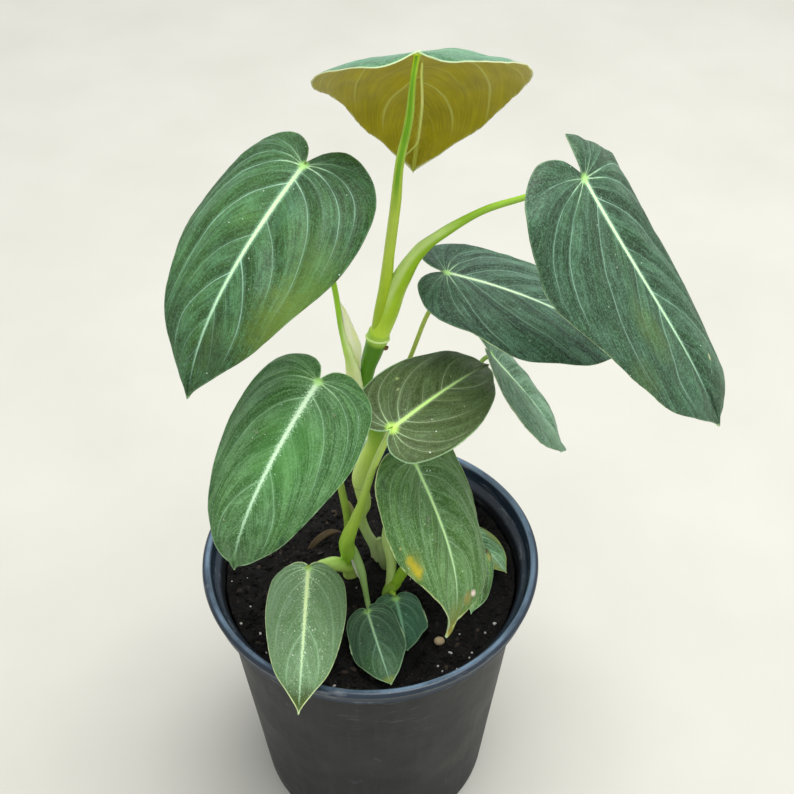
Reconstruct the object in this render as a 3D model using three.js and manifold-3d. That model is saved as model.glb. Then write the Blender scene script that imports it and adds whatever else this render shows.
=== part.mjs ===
// Philodendron gloriosum in a plastic nursery pot: three shoots with heart-shaped blades on long
// stalks, rooted in dark potting soil.
// Millimetres, +Z up. The origin is the centre of the pot's foot.
import * as THREE from "three";
import { mergeVertices } from "three/addons/utils/BufferGeometryUtils.js";
import Module from "manifold-3d";

const wasm = await Module();
wasm.setup();

// ---------------------------------------------------------------- driving dimensions
const CLEARANCE = 0.3; // between pieces that touch
const POT = { height: 165, rimRadius: 82.5, bodyTopRadius: 75, footRadius: 62, wall: 1.7, bandHeight: 9.5 };
const SQUEEZE = 0.055; // the soft rim is pushed in at the back by this share, the foot not at all
const DRAIN = { count: 6, radius: 4.5, circle: 46 };
const SOIL = { level: 149.5, mound: 1.8, relief: 1.1 };
const STEM_DEPTH = 10; // how far a stem reaches down into the soil
const BLADE = { thickness: 0.8, ribDepth: 1.2, ribWidth: 3.4, quilt: 0.5, columns: 4 };
const STALK_SIDES = 8;
const STEM_SIDES = 12;

// A blade's own frame has x from the stalk's junction to the tip, y to its left and z out of its upper face.
// heading turns x from +X towards +Y, pitch tips it down, roll lifts the left side.
// droop and curl turn the midrib down on its way to the tip, curl mostly near the tip.
// Pairs are [left, right]: arch turns a half down from midrib to margin, fold lifts it at the midrib,
// lobeDroop turns the lobes down behind the junction, and pinch closes the left lobe. Angles are degrees.
// lobe and widest are fractions of the length; fullness and taper shape the part nearer the tip.
const TYPICAL = {
  curl: 10, fold: [8, 8], lobeDroop: [20, 20], pinch: 0, lobe: 0.13,
  widest: [0.27, 0.27], fullness: [0.92, 0.92], taper: [0.2, 0.2], veins: 9, wave: 0.8,
};
const LEAVES = {
  top: {
    at: [20, 0.5, 430.7], length: 115, width: 82, heading: 84, pitch: 24, roll: 7, droop: 56, curl: 12,
    arch: [18, 21], fold: [-15, 12], lobeDroop: [18, 15], widest: [0.23, 0.22],
    fullness: [0.95, 1.01], taper: [-0.1, -0.15], veins: 10,
  },
  upper_left: {
    at: [-21, -2, 387], length: 98, width: 72, heading: -125, pitch: 21, roll: -2, droop: 20, curl: 40,
    arch: [50, 46], widest: [0.3, 0.3], fullness: [0.86, 0.86], veins: 10,
  },
  upper_right: {
    at: [80, -10.7, 387.2], length: 120, width: 88, heading: -22, pitch: 56, roll: 10, droop: -11, curl: 24,
    arch: [77, 35], fold: [15, 11], lobeDroop: [52, 28], pinch: 64, lobe: 0.14, widest: [0.1, 0.2],
    fullness: [0.72, 0.88], taper: [-1.5, -0.1], veins: 10,
  },
  mid_right: {
    at: [34, 23, 319], length: 90, width: 63, heading: -7, pitch: 11, roll: -9, droop: 21,
    arch: [19, 51], widest: [0.2, 0.2], fullness: [1.15, 1.15], taper: [0.1, 0.1],
  },
  back_right: {
    at: [57, 44, 254.8], length: 83, width: 61, heading: 9, pitch: 56, roll: 4, droop: -1, curl: 21,
    arch: [55, 39], fold: [19, 20], lobeDroop: [20, -13], lobe: 0.16, widest: [0.27, 0.29],
    fullness: [0.99, 0.96], taper: [0, 0.2], veins: 8,
  },
  mid_left: {
    at: [-18, -30.5, 306.4], length: 92, width: 61, heading: -118, pitch: 12, roll: -11, droop: 52, curl: 45,
    arch: [42, 62], fold: [-4, 8], fullness: [0.88, 0.88],
  },
  centre: {
    at: [11, -39, 289], length: 71, width: 45, heading: 46, pitch: -3, roll: 22, droop: 28,
    arch: [36, 28], fold: [12, 19], lobe: 0.11, widest: [0.24, 0.24], fullness: [1, 1], veins: 8,
  },
  low_centre: {
    at: [20.3, -22.6, 252.4], length: 84, width: 61, heading: -55, pitch: 43, roll: -32, droop: 9, curl: 52,
    arch: [51, 50], fold: [31, 10], lobeDroop: [20, 29], lobe: 0.11, widest: [0.31, 0.38],
    fullness: [0.88, 0.71], taper: [1.7, 0], wave: 1,
  },
  front_left: {
    at: [-28, -28, 187], length: 70, width: 44, heading: -90, pitch: -5, roll: -4, droop: 35,
    arch: [51, 46], fold: [-4, -8], lobe: 0.09, taper: [0.4, 0.4], veins: 7, wave: 0.5,
  },
  front_small: {
    at: [-1, -34, 162], length: 40, width: 28, heading: -77, pitch: -10, roll: 14, droop: 30,
    arch: [51, 40], fold: [0, 0], widest: [0.34, 0.34], fullness: [1.14, 1.14], veins: 6, wave: 0.3,
  },
  front_dark: {
    at: [12.5, -24, 158.3], length: 29, width: 23.5, heading: -74, pitch: -6, roll: 0, droop: 16,
    arch: [34, 34], lobe: 0.15, widest: [0.36, 0.36], fullness: [1.18, 1.18], veins: 6, wave: 0.3,
  },
  low_right: {
    at: [51.8, -1, 168.3], length: 34, width: 23, heading: -88, pitch: 4, roll: -31, droop: 27,
    arch: [36, 37], lobe: 0.15, veins: 6, wave: 0.4,
  },
  low_back: {
    at: [50.2, 13.6, 161], length: 27, width: 19, heading: -50, pitch: -3, roll: 0, droop: 22,
    arch: [30, 36], lobe: 0.15, veins: 6, wave: 0.3,
  },
};

// Routes are points [x, y, z, radius]. A stem starts down in the soil.
const STEMS = {
  tall: [
    [1.6, 6, 162.5, 2.3], [-2.2, 8, 170.5, 2.3], [-4.6, 9.5, 180, 2.5], [-2.8, 10, 189, 3.2], [-3.8, 10, 199, 3.5],
    [-4.4, 10, 208, 4], [-1.6, 10, 217, 4.2], [3.9, 10, 235, 4.4], [2, 10, 251, 4], [-1.1, 10, 267, 3.3],
    [-0.4, 10, 277, 3.1], [2, 10, 288, 3.8], [3.8, 10, 292.5, 4.6], [4.6, 10, 295, 4.5],
  ],
  left: [[-10, -4, 158, 4], [-10, -6, 168, 4.4]],
  right: [[9.3, -16, 154, 3.4], [12.3, -15, 160.5, 3.2]],
};
const STEM_FEET = { tall: [6, 4, 2.8], left: [-10, -3, 3.6], right: [8.5, -16.5, 3.3] }; // x, y, radius

// root is the stalk's start on its stem; route goes on from there to just under the blade's junction.
// cutBy names the pieces that the stalk clasps or grows out of.
const STALKS = {
  upper_right: {
    cutBy: ["petiole_top", "stem_tall"], endRadius: 1.2,
    route: [
      [4.6, 10, 294.6, 4.3], [9, 9.5, 308, 4.3], [14, 8, 326, 3.9], [21.5, 4, 344, 2.8], [28.8, 1, 353.7, 2.1],
      [45.3, -2, 367.6, 1.4], [60, -5, 375.5, 1.2],
    ],
  },
  top: {
    cutBy: [], endRadius: 1.1,
    route: [
      [8, 8.6, 310, 2.3], [9, 8, 325, 2.4], [10, 7, 342, 2.2], [12.5, 5, 366, 2.1], [14, 3, 385, 1.7],
      [17.3, 0.5, 405, 1.5],
    ],
  },
  upper_left: {
    cutBy: ["stem_tall"], endRadius: 1.1,
    route: [
      [2, 9.5, 246, 3.2], [-3, 7.5, 256, 3.6], [-5.2, 6, 269, 3.6], [-5.8, 5.3, 279, 3.2], [-7.4, 4.8, 289.5, 2.1],
      [-9.7, 3.8, 302, 1.3], [-11.8, 2, 326, 1.2], [-16.5, 1, 360, 1.1],
    ],
  },
  mid_right: {
    cutBy: ["stem_tall"], endRadius: 1,
    route: [[5.5, 10.5, 240, 1.8], [9.6, 12, 254, 1.3], [19, 16, 279, 1], [26, 20, 299, 1]],
  },
  back_right: {
    cutBy: ["stem_right", "petiole_low_centre"], endRadius: 1.1, short: true,
    route: [
      [9.6, -15.6, 156, 2.4], [10.3, -11, 170, 2.4], [8, -5, 184, 2.3], [16, 8, 200, 1.9], [32, 26, 218, 1.5],
      [46, 38, 238, 1.2],
    ],
  },
  centre: {
    cutBy: ["stem_left"], endRadius: 1.4,
    route: [
      [-10, -7.5, 169, 4.2], [-11, -12, 186, 3], [-8.5, -17, 198, 2], [-2.5, -24, 228, 1.8], [3.4, -33, 261, 1.5],
    ],
  },
  mid_left: {
    cutBy: ["petiole_centre"], endRadius: 1.1,
    route: [
      [-10.5, -10, 180, 1.9], [-10, -9, 198, 1.9], [-12, -12, 223, 1.7], [-15, -19, 260, 1.4], [-18, -25.5, 286, 1.2],
    ],
  },
  low_centre: {
    cutBy: ["stem_right"], endRadius: 1.5,
    route: [[12, -15, 159.5, 2.9], [15.5, -14.5, 166.5, 2.7], [18.8, -14.5, 174, 2.3], [19.5, -13, 192, 2], [14, -12, 225, 1.7]],
  },
  front_left: {
    cutBy: ["stem_left", "petiole_centre"], endRadius: 1.1, short: true,
    route: [[-11, -8, 164, 2.4], [-18, -14, 175, 2.3], [-24, -21, 179, 1.6]],
  },
  front_small: {
    cutBy: ["stem_left", "petiole_centre", "petiole_front_left"], endRadius: 1, short: true,
    route: [[-8.5, -6.5, 166, 2], [-5, -13, 168, 2], [-2, -23, 162, 1.4]],
  },
  front_dark: {
    cutBy: ["stem_right"], endRadius: 1, short: true,
    route: [[9.5, -16.5, 156.5, 1.5], [11.2, -20, 157.2, 1.3]],
  },
  low_right: {
    cutBy: ["petiole_low_centre"], endRadius: 0.9, short: true,
    route: [[18.6, -14.3, 175, 1.5], [30, -9, 170, 1.2], [42, -3, 161, 1]],
  },
  low_back: {
    cutBy: ["petiole_low_centre", "petiole_low_right"], endRadius: 0.9, short: true,
    route: [[19, -13.8, 180, 1.5], [31, 0, 170, 1.2], [42, 10, 156, 1]],
  },
};
const SHEATH = { from: 0.27, to: 0.53, gap: 0.35, width: 4.4, turn: 8 }; // the thin wing on the upper left stalk
const DRY_SHEATH = [[-33, 12, 148.5, 1], [-28, 17, 152.2, 1.7], [-21, 22, 152.8, 1.8], [-13, 24, 149, 1.1]];

// Loose grains that lie half sunk in the soil: x, y and radius. More are scattered by a seeded draw.
const GRAINS = [
  [33, -43, 3.2], [38, -50, 1.7], [41, -58, 1.5], [60, -33, 1.6], [-16, -67, 1.6], [-52, -39, 1.5], [-62, -33, 1.6],
];
const SCATTERED = { count: 12, seed: 7, inner: 42, outer: 68, radius: [1, 1.9] };

// ---------------------------------------------------------------- materials
function finish(colour, roughness) {
  return new THREE.MeshStandardMaterial({ color: colour, roughness, metalness: 0 });
}
const potPlastic = () => finish(0x2c2e31, 0.5);
const pottingSoil = () => finish(0x1f1712, 1);
const dryHusk = () => finish(0x8a6238, 0.9);
const stemGreen = () => finish(0x6f9f2a, 0.55);
const stalkGreen = () => finish(0x8fbf3c, 0.5);
const paleSheath = () => finish(0xd3e8b0, 0.6);
const bladeGreen = () => finish(0x3f6b4a, 0.7);

// ---------------------------------------------------------------- geometry and solids
function rad(degrees) {
  return THREE.MathUtils.degToRad(degrees);
}

// One geometry from plain points and triangles, with equal points merged and collapsed triangles dropped.
function geometryOf(points, triangles, extra) {
  const loose = new THREE.BufferGeometry();
  loose.setAttribute("position", new THREE.Float32BufferAttribute(points.flat(), 3));
  if (extra) loose.setAttribute("depth", new THREE.Float32BufferAttribute(extra, 1));
  loose.setIndex(triangles.flat());
  const merged = mergeVertices(loose, 1e-3);
  const kept = [];
  for (let i = 0; i < merged.index.count; i += 3) {
    const corner = [0, 1, 2].map((k) => merged.index.getX(i + k));
    if (new Set(corner).size === 3) kept.push(...corner);
  }
  merged.setIndex(kept);
  return merged;
}

function pointsOf({ attributes: { position } }) {
  return Array.from({ length: position.count }, (_, i) =>
    new THREE.Vector3().fromBufferAttribute(position, i).toArray(),
  );
}

function looseTriangles({ attributes: { position } }) {
  return Array.from({ length: position.count / 3 }, (_, i) => [3 * i, 3 * i + 1, 3 * i + 2]);
}

function indexedTriangles({ index }) {
  return Array.from({ length: index.count / 3 }, (_, i) => [0, 1, 2].map((k) => index.getX(3 * i + k)));
}

function solidOf(geometry) {
  const bare = geometry.clone();
  bare.deleteAttribute("normal");
  bare.deleteAttribute("uv");
  const merged = mergeVertices(bare, 1e-3);
  return new wasm.Manifold(
    new wasm.Mesh({
      numProp: 3,
      vertProperties: new Float32Array(merged.attributes.position.array),
      triVerts: new Uint32Array(merged.index.array),
    }),
  );
}

function geometryFrom(solid) {
  const mesh = solid.getMesh();
  const geometry = new THREE.BufferGeometry();
  geometry.setAttribute("position", new THREE.BufferAttribute(mesh.vertProperties, 3));
  geometry.setIndex(new THREE.BufferAttribute(mesh.triVerts, 1));
  return geometry;
}

// What is left of a solid after its neighbours are cut away; a loose scrap is dropped.
function cutFree(solid, cutters) {
  const rest = cutters.reduce((body, cutter) => body.subtract(cutter), solid);
  const bodies = rest.decompose();
  return bodies.reduce((a, b) => (a.volume() > b.volume() ? a : b));
}

// A closed tube along a smooth curve through [x, y, z, radius], with flat ends; grow widens it all over.
function taperedTube(route, sides, grow = 0) {
  const curve = new THREE.CatmullRomCurve3(route.map(([x, y, z]) => new THREE.Vector3(x, y, z)));
  const stepLength = 7;
  const steps = Math.max(4, Math.round(curve.getLength() / stepLength));
  const frames = curve.computeFrenetFrames(steps, false);
  const points = [];
  const triangles = [];
  for (let i = 0; i <= steps; i++) {
    const along = curve.getUtoTmapping(i / steps) * (route.length - 1);
    const before = Math.min(Math.floor(along), route.length - 2);
    const radius = THREE.MathUtils.lerp(route[before][3], route[before + 1][3], along - before) + grow;
    const centre = curve.getPointAt(i / steps);
    if (i === 0) centre.addScaledVector(frames.tangents[i], -grow);
    if (i === steps) centre.addScaledVector(frames.tangents[i], grow);
    for (let j = 0; j < sides; j++) {
      const angle = (2 * Math.PI * j) / sides;
      const spoke = centre.clone();
      spoke.addScaledVector(frames.normals[i], radius * Math.cos(angle));
      spoke.addScaledVector(frames.binormals[i], radius * Math.sin(angle));
      points.push(spoke.toArray());
    }
  }
  for (let i = 0; i < steps; i++) {
    for (let j = 0; j < sides; j++) {
      const next = (j + 1) % sides;
      const [a, b, c, d] = [i * sides + j, i * sides + next, (i + 1) * sides + next, (i + 1) * sides + j];
      triangles.push([a, b, c], [a, c, d]);
    }
  }
  for (let j = 1; j < sides - 1; j++) {
    const last = steps * sides;
    triangles.push([0, j + 1, j], [last, last + j, last + j + 1]);
  }
  return geometryOf(points, triangles);
}

// Closes an open sheet into a solid: a like face lies under it at each point's depth, and a rim joins the two.
function thickened(sheet) {
  sheet.computeVertexNormals();
  const { position, normal, depth } = sheet.attributes;
  const count = position.count;
  const points = [];
  for (let i = 0; i < count; i++) points.push(new THREE.Vector3().fromBufferAttribute(position, i).toArray());
  for (let i = 0; i < count; i++) {
    const under = new THREE.Vector3().fromBufferAttribute(position, i);
    under.addScaledVector(new THREE.Vector3().fromBufferAttribute(normal, i), -depth.getX(i));
    points.push(under.toArray());
  }
  const triangles = [];
  const edges = new Map();
  for (let i = 0; i < sheet.index.count; i += 3) {
    const [a, b, c] = [0, 1, 2].map((k) => sheet.index.getX(i + k));
    triangles.push([a, b, c], [a + count, c + count, b + count]);
    for (const [from, to] of [[a, b], [b, c], [c, a]]) {
      if (!edges.delete(`${to}-${from}`)) edges.set(`${from}-${to}`, [from, to]);
    }
  }
  for (const [from, to] of edges.values()) {
    triangles.push([to, from, from + count], [to, from + count, to + count]);
  }
  return geometryOf(points, triangles);
}

// ---------------------------------------------------------------- pot
function potProfile() {
  const { height, rimRadius, bodyTopRadius, footRadius, wall, bandHeight } = POT;
  const bandFoot = height - bandHeight;
  return [
    [0, 0], [footRadius - 2, 0], [footRadius - 0.5, 0.6], [footRadius, 2.2],
    [bodyTopRadius - 0.2, bandFoot - 1], [bodyTopRadius + 0.4, bandFoot], [rimRadius - 1.9, bandFoot + 0.3],
    [rimRadius - 1.3, bandFoot + 1], [rimRadius - 1.7, bandFoot + 2], [rimRadius - 1.5, height - 4.4],
    [rimRadius - 0.2, height - 3], [rimRadius, height - 1.9], [rimRadius - 0.5, height - 0.7],
    [rimRadius - 1.6, height], [rimRadius - 3, height], [rimRadius - 4, height - 0.7],
    [rimRadius - 4.5, height - 2], [rimRadius - 5, height - 7], [bodyTopRadius - 0.6, height - 9.5],
    [bodyTopRadius - wall, height - 12], [footRadius - wall, wall + 2], [footRadius - wall - 1.6, wall], [0, wall],
  ].map(([r, z]) => new THREE.Vector2(r, z));
}

function squeezed([x, y, z]) {
  return [x, y > 0 ? y * (1 - (SQUEEZE * z) / POT.height) : y, z];
}

function potBody() {
  const lathed = new THREE.LatheGeometry(potProfile(), 48);
  lathed.rotateX(Math.PI / 2); // the lathe turns about Y
  const shell = geometryOf(pointsOf(lathed).map(squeezed), indexedTriangles(lathed));
  const drains = [];
  for (let i = 0; i < DRAIN.count; i++) {
    const angle = (2 * Math.PI * (i + 0.5)) / DRAIN.count;
    const plug = new THREE.CylinderGeometry(DRAIN.radius, DRAIN.radius, 4 * POT.wall, 16);
    plug.rotateX(Math.PI / 2);
    plug.translate(DRAIN.circle * Math.cos(angle), DRAIN.circle * Math.sin(angle), POT.wall / 2);
    drains.push(solidOf(plug));
  }
  return geometryFrom(cutFree(solidOf(shell), drains));
}

// ---------------------------------------------------------------- soil
function soilHeight(x, y, outer) {
  const mound = SOIL.mound * (1 - (x * x + y * y) / (outer * outer));
  const crumbs = Math.sin(0.31 * x + 1.3) * Math.cos(0.27 * y + 0.4) + 0.6 * Math.sin(0.52 * x - 0.43 * y + 2);
  return SOIL.level + mound + SOIL.relief * crumbs;
}

// A plug that fills the pot: rings of its top, then one ring at the foot and a point at each centre.
function soilPlug() {
  const slope = (POT.bodyTopRadius - POT.footRadius) / (POT.height - POT.bandHeight);
  const inside = (z) => POT.footRadius + slope * z - POT.wall - 0.6 - CLEARANCE;
  const outer = inside(SOIL.level);
  const [rings, sectors, foot] = [9, 36, POT.wall + CLEARANCE];
  const points = [[0, 0, soilHeight(0, 0, outer)]];
  for (let i = 1; i <= rings; i++) {
    for (let j = 0; j < sectors; j++) {
      const angle = (2 * Math.PI * (j + (i % 2) / 2)) / sectors;
      const [x, y] = [Math.cos(angle), Math.sin(angle)].map((c) => (c * outer * i) / rings);
      points.push([x, y, soilHeight(x, y, outer)]);
    }
  }
  for (let j = 0; j < sectors; j++) {
    const angle = (2 * Math.PI * (j + (rings % 2) / 2)) / sectors;
    const radius = inside(foot) - 2;
    points.push([radius * Math.cos(angle), radius * Math.sin(angle), foot]);
  }
  points.push([0, 0, foot]);
  const triangles = [];
  const at = (i, j) => 1 + (i - 1) * sectors + (j % sectors);
  for (let j = 0; j < sectors; j++) {
    triangles.push([0, at(1, j), at(1, j + 1)]);
    for (let i = 1; i <= rings; i++) {
      triangles.push([at(i, j), at(i + 1, j), at(i + 1, j + 1)], [at(i, j), at(i + 1, j + 1), at(i, j + 1)]);
    }
    triangles.push([points.length - 1, at(rings + 1, j + 1), at(rings + 1, j)]);
  }
  return solidOf(geometryOf(points.map(squeezed), triangles));
}

function soilGrains() {
  const grains = [...GRAINS];
  let state = SCATTERED.seed;
  const draw = () => {
    state = (state * 16807) % 2147483647;
    return state / 2147483647;
  };
  for (let i = 0; i < SCATTERED.count; i++) {
    const angle = 2 * Math.PI * ((i + draw()) / SCATTERED.count);
    const distance = THREE.MathUtils.lerp(SCATTERED.inner, SCATTERED.outer, draw());
    const radius = THREE.MathUtils.lerp(...SCATTERED.radius, draw());
    grains.push([distance * Math.cos(angle), distance * Math.sin(angle), radius]);
  }
  return grains.map(([x, y, radius]) => {
    const stone = new THREE.IcosahedronGeometry(radius, 0);
    stone.rotateX(x);
    stone.rotateZ(y);
    stone.scale(1, 1, 0.8);
    stone.translate(x, y, soilHeight(x, y, POT.bodyTopRadius) + 0.1 * radius);
    return solidOf(geometryOf(pointsOf(stone).map(squeezed), looseTriangles(stone)));
  });
}

function soilBody(stood) {
  const whole = soilGrains().reduce((body, grain) => body.add(grain), soilPlug());
  return geometryFrom(cutFree(whole, stood));
}

// ---------------------------------------------------------------- leaves
function axesOf(leaf) {
  const [heading, pitch, roll] = [leaf.heading, leaf.pitch, leaf.roll].map(rad);
  return new THREE.Matrix4()
    .makeRotationZ(heading)
    .multiply(new THREE.Matrix4().makeRotationY(pitch))
    .multiply(new THREE.Matrix4().makeRotationX(roll))
    .setPosition(...leaf.at);
}

// Half the outline, from the notch between the lobes round to the tip, in fractions of length and half width.
function outlineOf(leaf, side) {
  const { lobe } = leaf;
  const [widest, fullness, taper] = [leaf.widest, leaf.fullness, leaf.taper].map((pair) => pair[side]);
  return new THREE.SplineCurve(
    [
      [-0.02, 0], [-0.7 * lobe, 0.12], [-lobe, 0.38], [-0.62 * lobe, 0.74], [0.06, 0.94], [widest, 1],
      [widest + 0.24, 0.93 * fullness], [0.73, 0.66 * fullness], [0.87, 0.34 * fullness - 0.1 * taper],
      [0.95, 0.12 * fullness - 0.07 * taper], [1, 0],
    ].map(([x, y]) => new THREE.Vector2(x, y)),
  );
}

// A point of the flat blade: share 0 to 1 picks the side vein from notch to tip, reach 0 to 1 runs along it.
// Both halves' veins start at one point of the midrib.
function flatPoint(leaf, outlines, side, share, reach) {
  const end = outlines[side].getPoint(share);
  const meanEnd = (end.x + outlines[1 - side].getPoint(share).x) / 2;
  const fanShare = 0.2; // veins that end nearer the junction than this all start at it
  const start = new THREE.Vector2(Math.max(0, (meanEnd - fanShare) / (1 - fanShare)) ** 1.8, 0);
  const bow = new THREE.Vector2(start.x + 0.25 * (end.x - start.x), 0.62 * end.y);
  const flat = new THREE.QuadraticBezierCurve(start, bow, end).getPoint(reach);
  return flat.set(flat.x * leaf.length, (flat.y * leaf.width) / 2);
}

// Bends a point of the flat half blade to its drooping midrib and arched half.
function bentPoint(leaf, flat, side, lift) {
  const along = flat.x / leaf.length;
  const half = leaf.width / 2;
  const reach = flat.y / half;
  const sharedDroop = (leaf.lobeDroop[0] + leaf.lobeDroop[1]) / 2;
  const lobeDroop = THREE.MathUtils.lerp(sharedDroop, leaf.lobeDroop[side], Math.min(1, 4 * reach));
  const turnAt = (s) => rad(s >= 0 ? leaf.droop * s + leaf.curl * s ** 3 : (lobeDroop * s) / leaf.lobe);
  let [x, z] = [0, 0];
  const slices = 16;
  for (let i = 0; i < slices; i++) {
    const turn = turnAt((along * (i + 0.5)) / slices);
    x += (flat.x * Math.cos(turn)) / slices;
    z -= (flat.x * Math.sin(turn)) / slices;
  }
  const pinched = side === 0 ? leaf.pinch * THREE.MathUtils.clamp(0.3 - (0.7 * along) / leaf.lobe, 0, 1) : 0;
  const arch = rad(leaf.arch[side] + pinched);
  const fold = rad(leaf.fold[side]);
  const y = (half * (Math.sin(fold) - Math.sin(fold - arch * reach))) / arch;
  const rise = (half * (Math.cos(fold - arch * reach) - Math.cos(fold))) / arch + lift;
  const turn = turnAt(along);
  return new THREE.Vector3(x + rise * Math.sin(turn), side === 0 ? y : -y, z + rise * Math.cos(turn));
}

// The upper face between the veins stands a little proud, and the margin waves.
function reliefAt(leaf, share, reach) {
  const between = Math.sin(Math.PI * share * leaf.veins) ** 2;
  const wave = leaf.wave * Math.sin(2 * Math.PI * (2.5 * share + 0.1 * leaf.length)) * reach ** 3;
  const ends = Math.min(1, 6 * share, 6 * (1 - share));
  return ends * (4 * BLADE.quilt * between * reach * (1 - reach) + wave);
}

function depthAt(flat, leaf) {
  const rib = Math.max(0, 1 - flat.x / leaf.length) * Math.max(0, 1 - flat.y / BLADE.ribWidth);
  return BLADE.thickness + BLADE.ribDepth * Math.min(1, rib);
}

function bladeBody(leaf) {
  const axes = axesOf(leaf);
  const rows = 2 * leaf.veins;
  const columns = BLADE.columns;
  const points = [];
  const depths = [];
  const triangles = [];
  const outlines = [outlineOf(leaf, 0), outlineOf(leaf, 1)];
  for (const side of [0, 1]) {
    const first = points.length;
    for (let i = 0; i <= rows; i++) {
      for (let j = 0; j <= columns; j++) {
        const reach = j / columns;
        const flat = flatPoint(leaf, outlines, side, i / rows, reach);
        const spot = bentPoint(leaf, flat, side, reliefAt(leaf, i / rows, reach));
        points.push(spot.applyMatrix4(axes).toArray());
        depths.push(depthAt(flat, leaf));
      }
    }
    for (let i = 0; i < rows; i++) {
      for (let j = 0; j < columns; j++) {
        const a = first + i * (columns + 1) + j;
        const [b, c, d] = [a + columns + 1, a + columns + 2, a + 1];
        triangles.push(...(side === 0 ? [[a, b, c], [a, c, d]] : [[a, c, b], [a, d, c]]));
      }
    }
  }
  return thickened(geometryOf(points, triangles, depths));
}

// ---------------------------------------------------------------- stems and stalks
function stemRoute(name) {
  const [x, y, radius] = STEM_FEET[name];
  return [[x, y, SOIL.level - STEM_DEPTH, radius], ...STEMS[name]];
}

// A stalk's route, ended square under the blade's junction.
function stalkRoute(name) {
  const stalk = STALKS[name];
  const axes = axesOf(LEAVES[name]);
  const seat = BLADE.thickness + BLADE.ribDepth + CLEARANCE + 0.2;
  const depths = stalk.short ? [seat + 1.8, seat] : [9, seat];
  const ends = depths.map((depth) => new THREE.Vector3(0, 0, -depth).applyMatrix4(axes).toArray());
  return [...stalk.route, ...ends.map((end) => [...end, stalk.endRadius])];
}

function routeOf(piece) {
  const [kind, ...rest] = piece.split("_");
  const name = rest.join("_");
  return kind === "stem" ? stemRoute(name) : stalkRoute(name);
}

function cutterOf(piece) {
  return solidOf(taperedTube(routeOf(piece), STEM_SIDES, CLEARANCE));
}

function stalkBody(name) {
  const whole = solidOf(taperedTube(stalkRoute(name), STALK_SIDES));
  return geometryFrom(cutFree(whole, STALKS[name].cutBy.map(cutterOf)));
}

// The thin wing along the upper left stalk: a strip that starts on the stalk and stands out to its right.
function sheathBody() {
  const route = stalkRoute("upper_left");
  const curve = new THREE.CatmullRomCurve3(route.map(([x, y, z]) => new THREE.Vector3(x, y, z)));
  const [rows, columns] = [10, 3];
  const points = [];
  const triangles = [];
  for (let i = 0; i <= rows; i++) {
    const share = i / rows;
    const u = THREE.MathUtils.lerp(SHEATH.from, SHEATH.to, share);
    const along = curve.getUtoTmapping(u) * (route.length - 1);
    const before = Math.floor(along);
    const radius = THREE.MathUtils.lerp(route[before][3], route[before + 1][3], along - before);
    const centre = curve.getPointAt(u);
    const reach = SHEATH.width * (1 - share ** 3) + 0.8;
    for (let j = 0; j <= columns; j++) {
      const out = radius + SHEATH.gap + (reach * j) / columns;
      const angle = rad(SHEATH.turn * (j / columns - 0.5));
      points.push([centre.x + out * Math.cos(angle), centre.y + out * Math.sin(angle), centre.z]);
    }
  }
  for (let i = 0; i < rows; i++) {
    for (let j = 0; j < columns; j++) {
      const a = i * (columns + 1) + j;
      const [b, c, d] = [a + 1, a + columns + 2, a + columns + 1];
      triangles.push([a, b, c], [a, c, d]);
    }
  }
  const strip = geometryOf(points, triangles, points.map(() => 0.6));
  return geometryFrom(cutFree(solidOf(thickened(strip)), [cutterOf("stem_tall"), cutterOf("petiole_upper_left")]));
}

// ---------------------------------------------------------------- the whole plant
const plant = new THREE.Group();

function add(name, geometry, material) {
  const mesh = new THREE.Mesh(geometry, material);
  mesh.name = name;
  plant.add(mesh);
}

for (const [name, shape] of Object.entries(LEAVES)) LEAVES[name] = { ...TYPICAL, ...shape };

const stemNames = Object.keys(STEMS).map((name) => `stem_${name}`);
const standing = [...stemNames.map(cutterOf), solidOf(taperedTube(DRY_SHEATH, STALK_SIDES, CLEARANCE))];

add("pot", potBody(), potPlastic());
add("soil", soilBody(standing), pottingSoil());
add("dry_sheath", taperedTube(DRY_SHEATH, STALK_SIDES), dryHusk());
for (const name of stemNames) add(name, taperedTube(routeOf(name), STEM_SIDES), stemGreen());
for (const name of Object.keys(STALKS)) add(`petiole_${name}`, stalkBody(name), stalkGreen());
add("sheath_upper_left", sheathBody(), paleSheath());
for (const [name, leaf] of Object.entries(LEAVES)) add(`blade_${name}`, bladeBody(leaf), bladeGreen());

export default plant;
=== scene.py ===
"""A young velvet-leaved philodendron with pale veins, growing as three shoots in a nursery pot of dark
potting mix. Metres, +Z up, origin at the centre of the pot's foot. Sizes below are millimetres."""

import math
import random

import bmesh
import bpy
import numpy as np
from mathutils import Matrix, Vector, noise


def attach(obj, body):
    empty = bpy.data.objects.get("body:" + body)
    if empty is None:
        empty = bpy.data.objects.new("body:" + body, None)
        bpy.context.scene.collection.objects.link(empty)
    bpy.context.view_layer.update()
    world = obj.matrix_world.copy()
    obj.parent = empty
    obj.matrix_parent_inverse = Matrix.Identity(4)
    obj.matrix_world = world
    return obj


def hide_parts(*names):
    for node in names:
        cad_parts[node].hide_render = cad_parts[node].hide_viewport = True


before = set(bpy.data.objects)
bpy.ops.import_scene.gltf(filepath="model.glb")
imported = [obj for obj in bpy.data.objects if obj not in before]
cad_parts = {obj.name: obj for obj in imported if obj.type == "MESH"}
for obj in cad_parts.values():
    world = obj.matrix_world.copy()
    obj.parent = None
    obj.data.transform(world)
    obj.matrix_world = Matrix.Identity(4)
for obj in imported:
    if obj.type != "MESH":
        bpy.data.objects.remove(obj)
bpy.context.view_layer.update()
scene = bpy.context.scene

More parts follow.
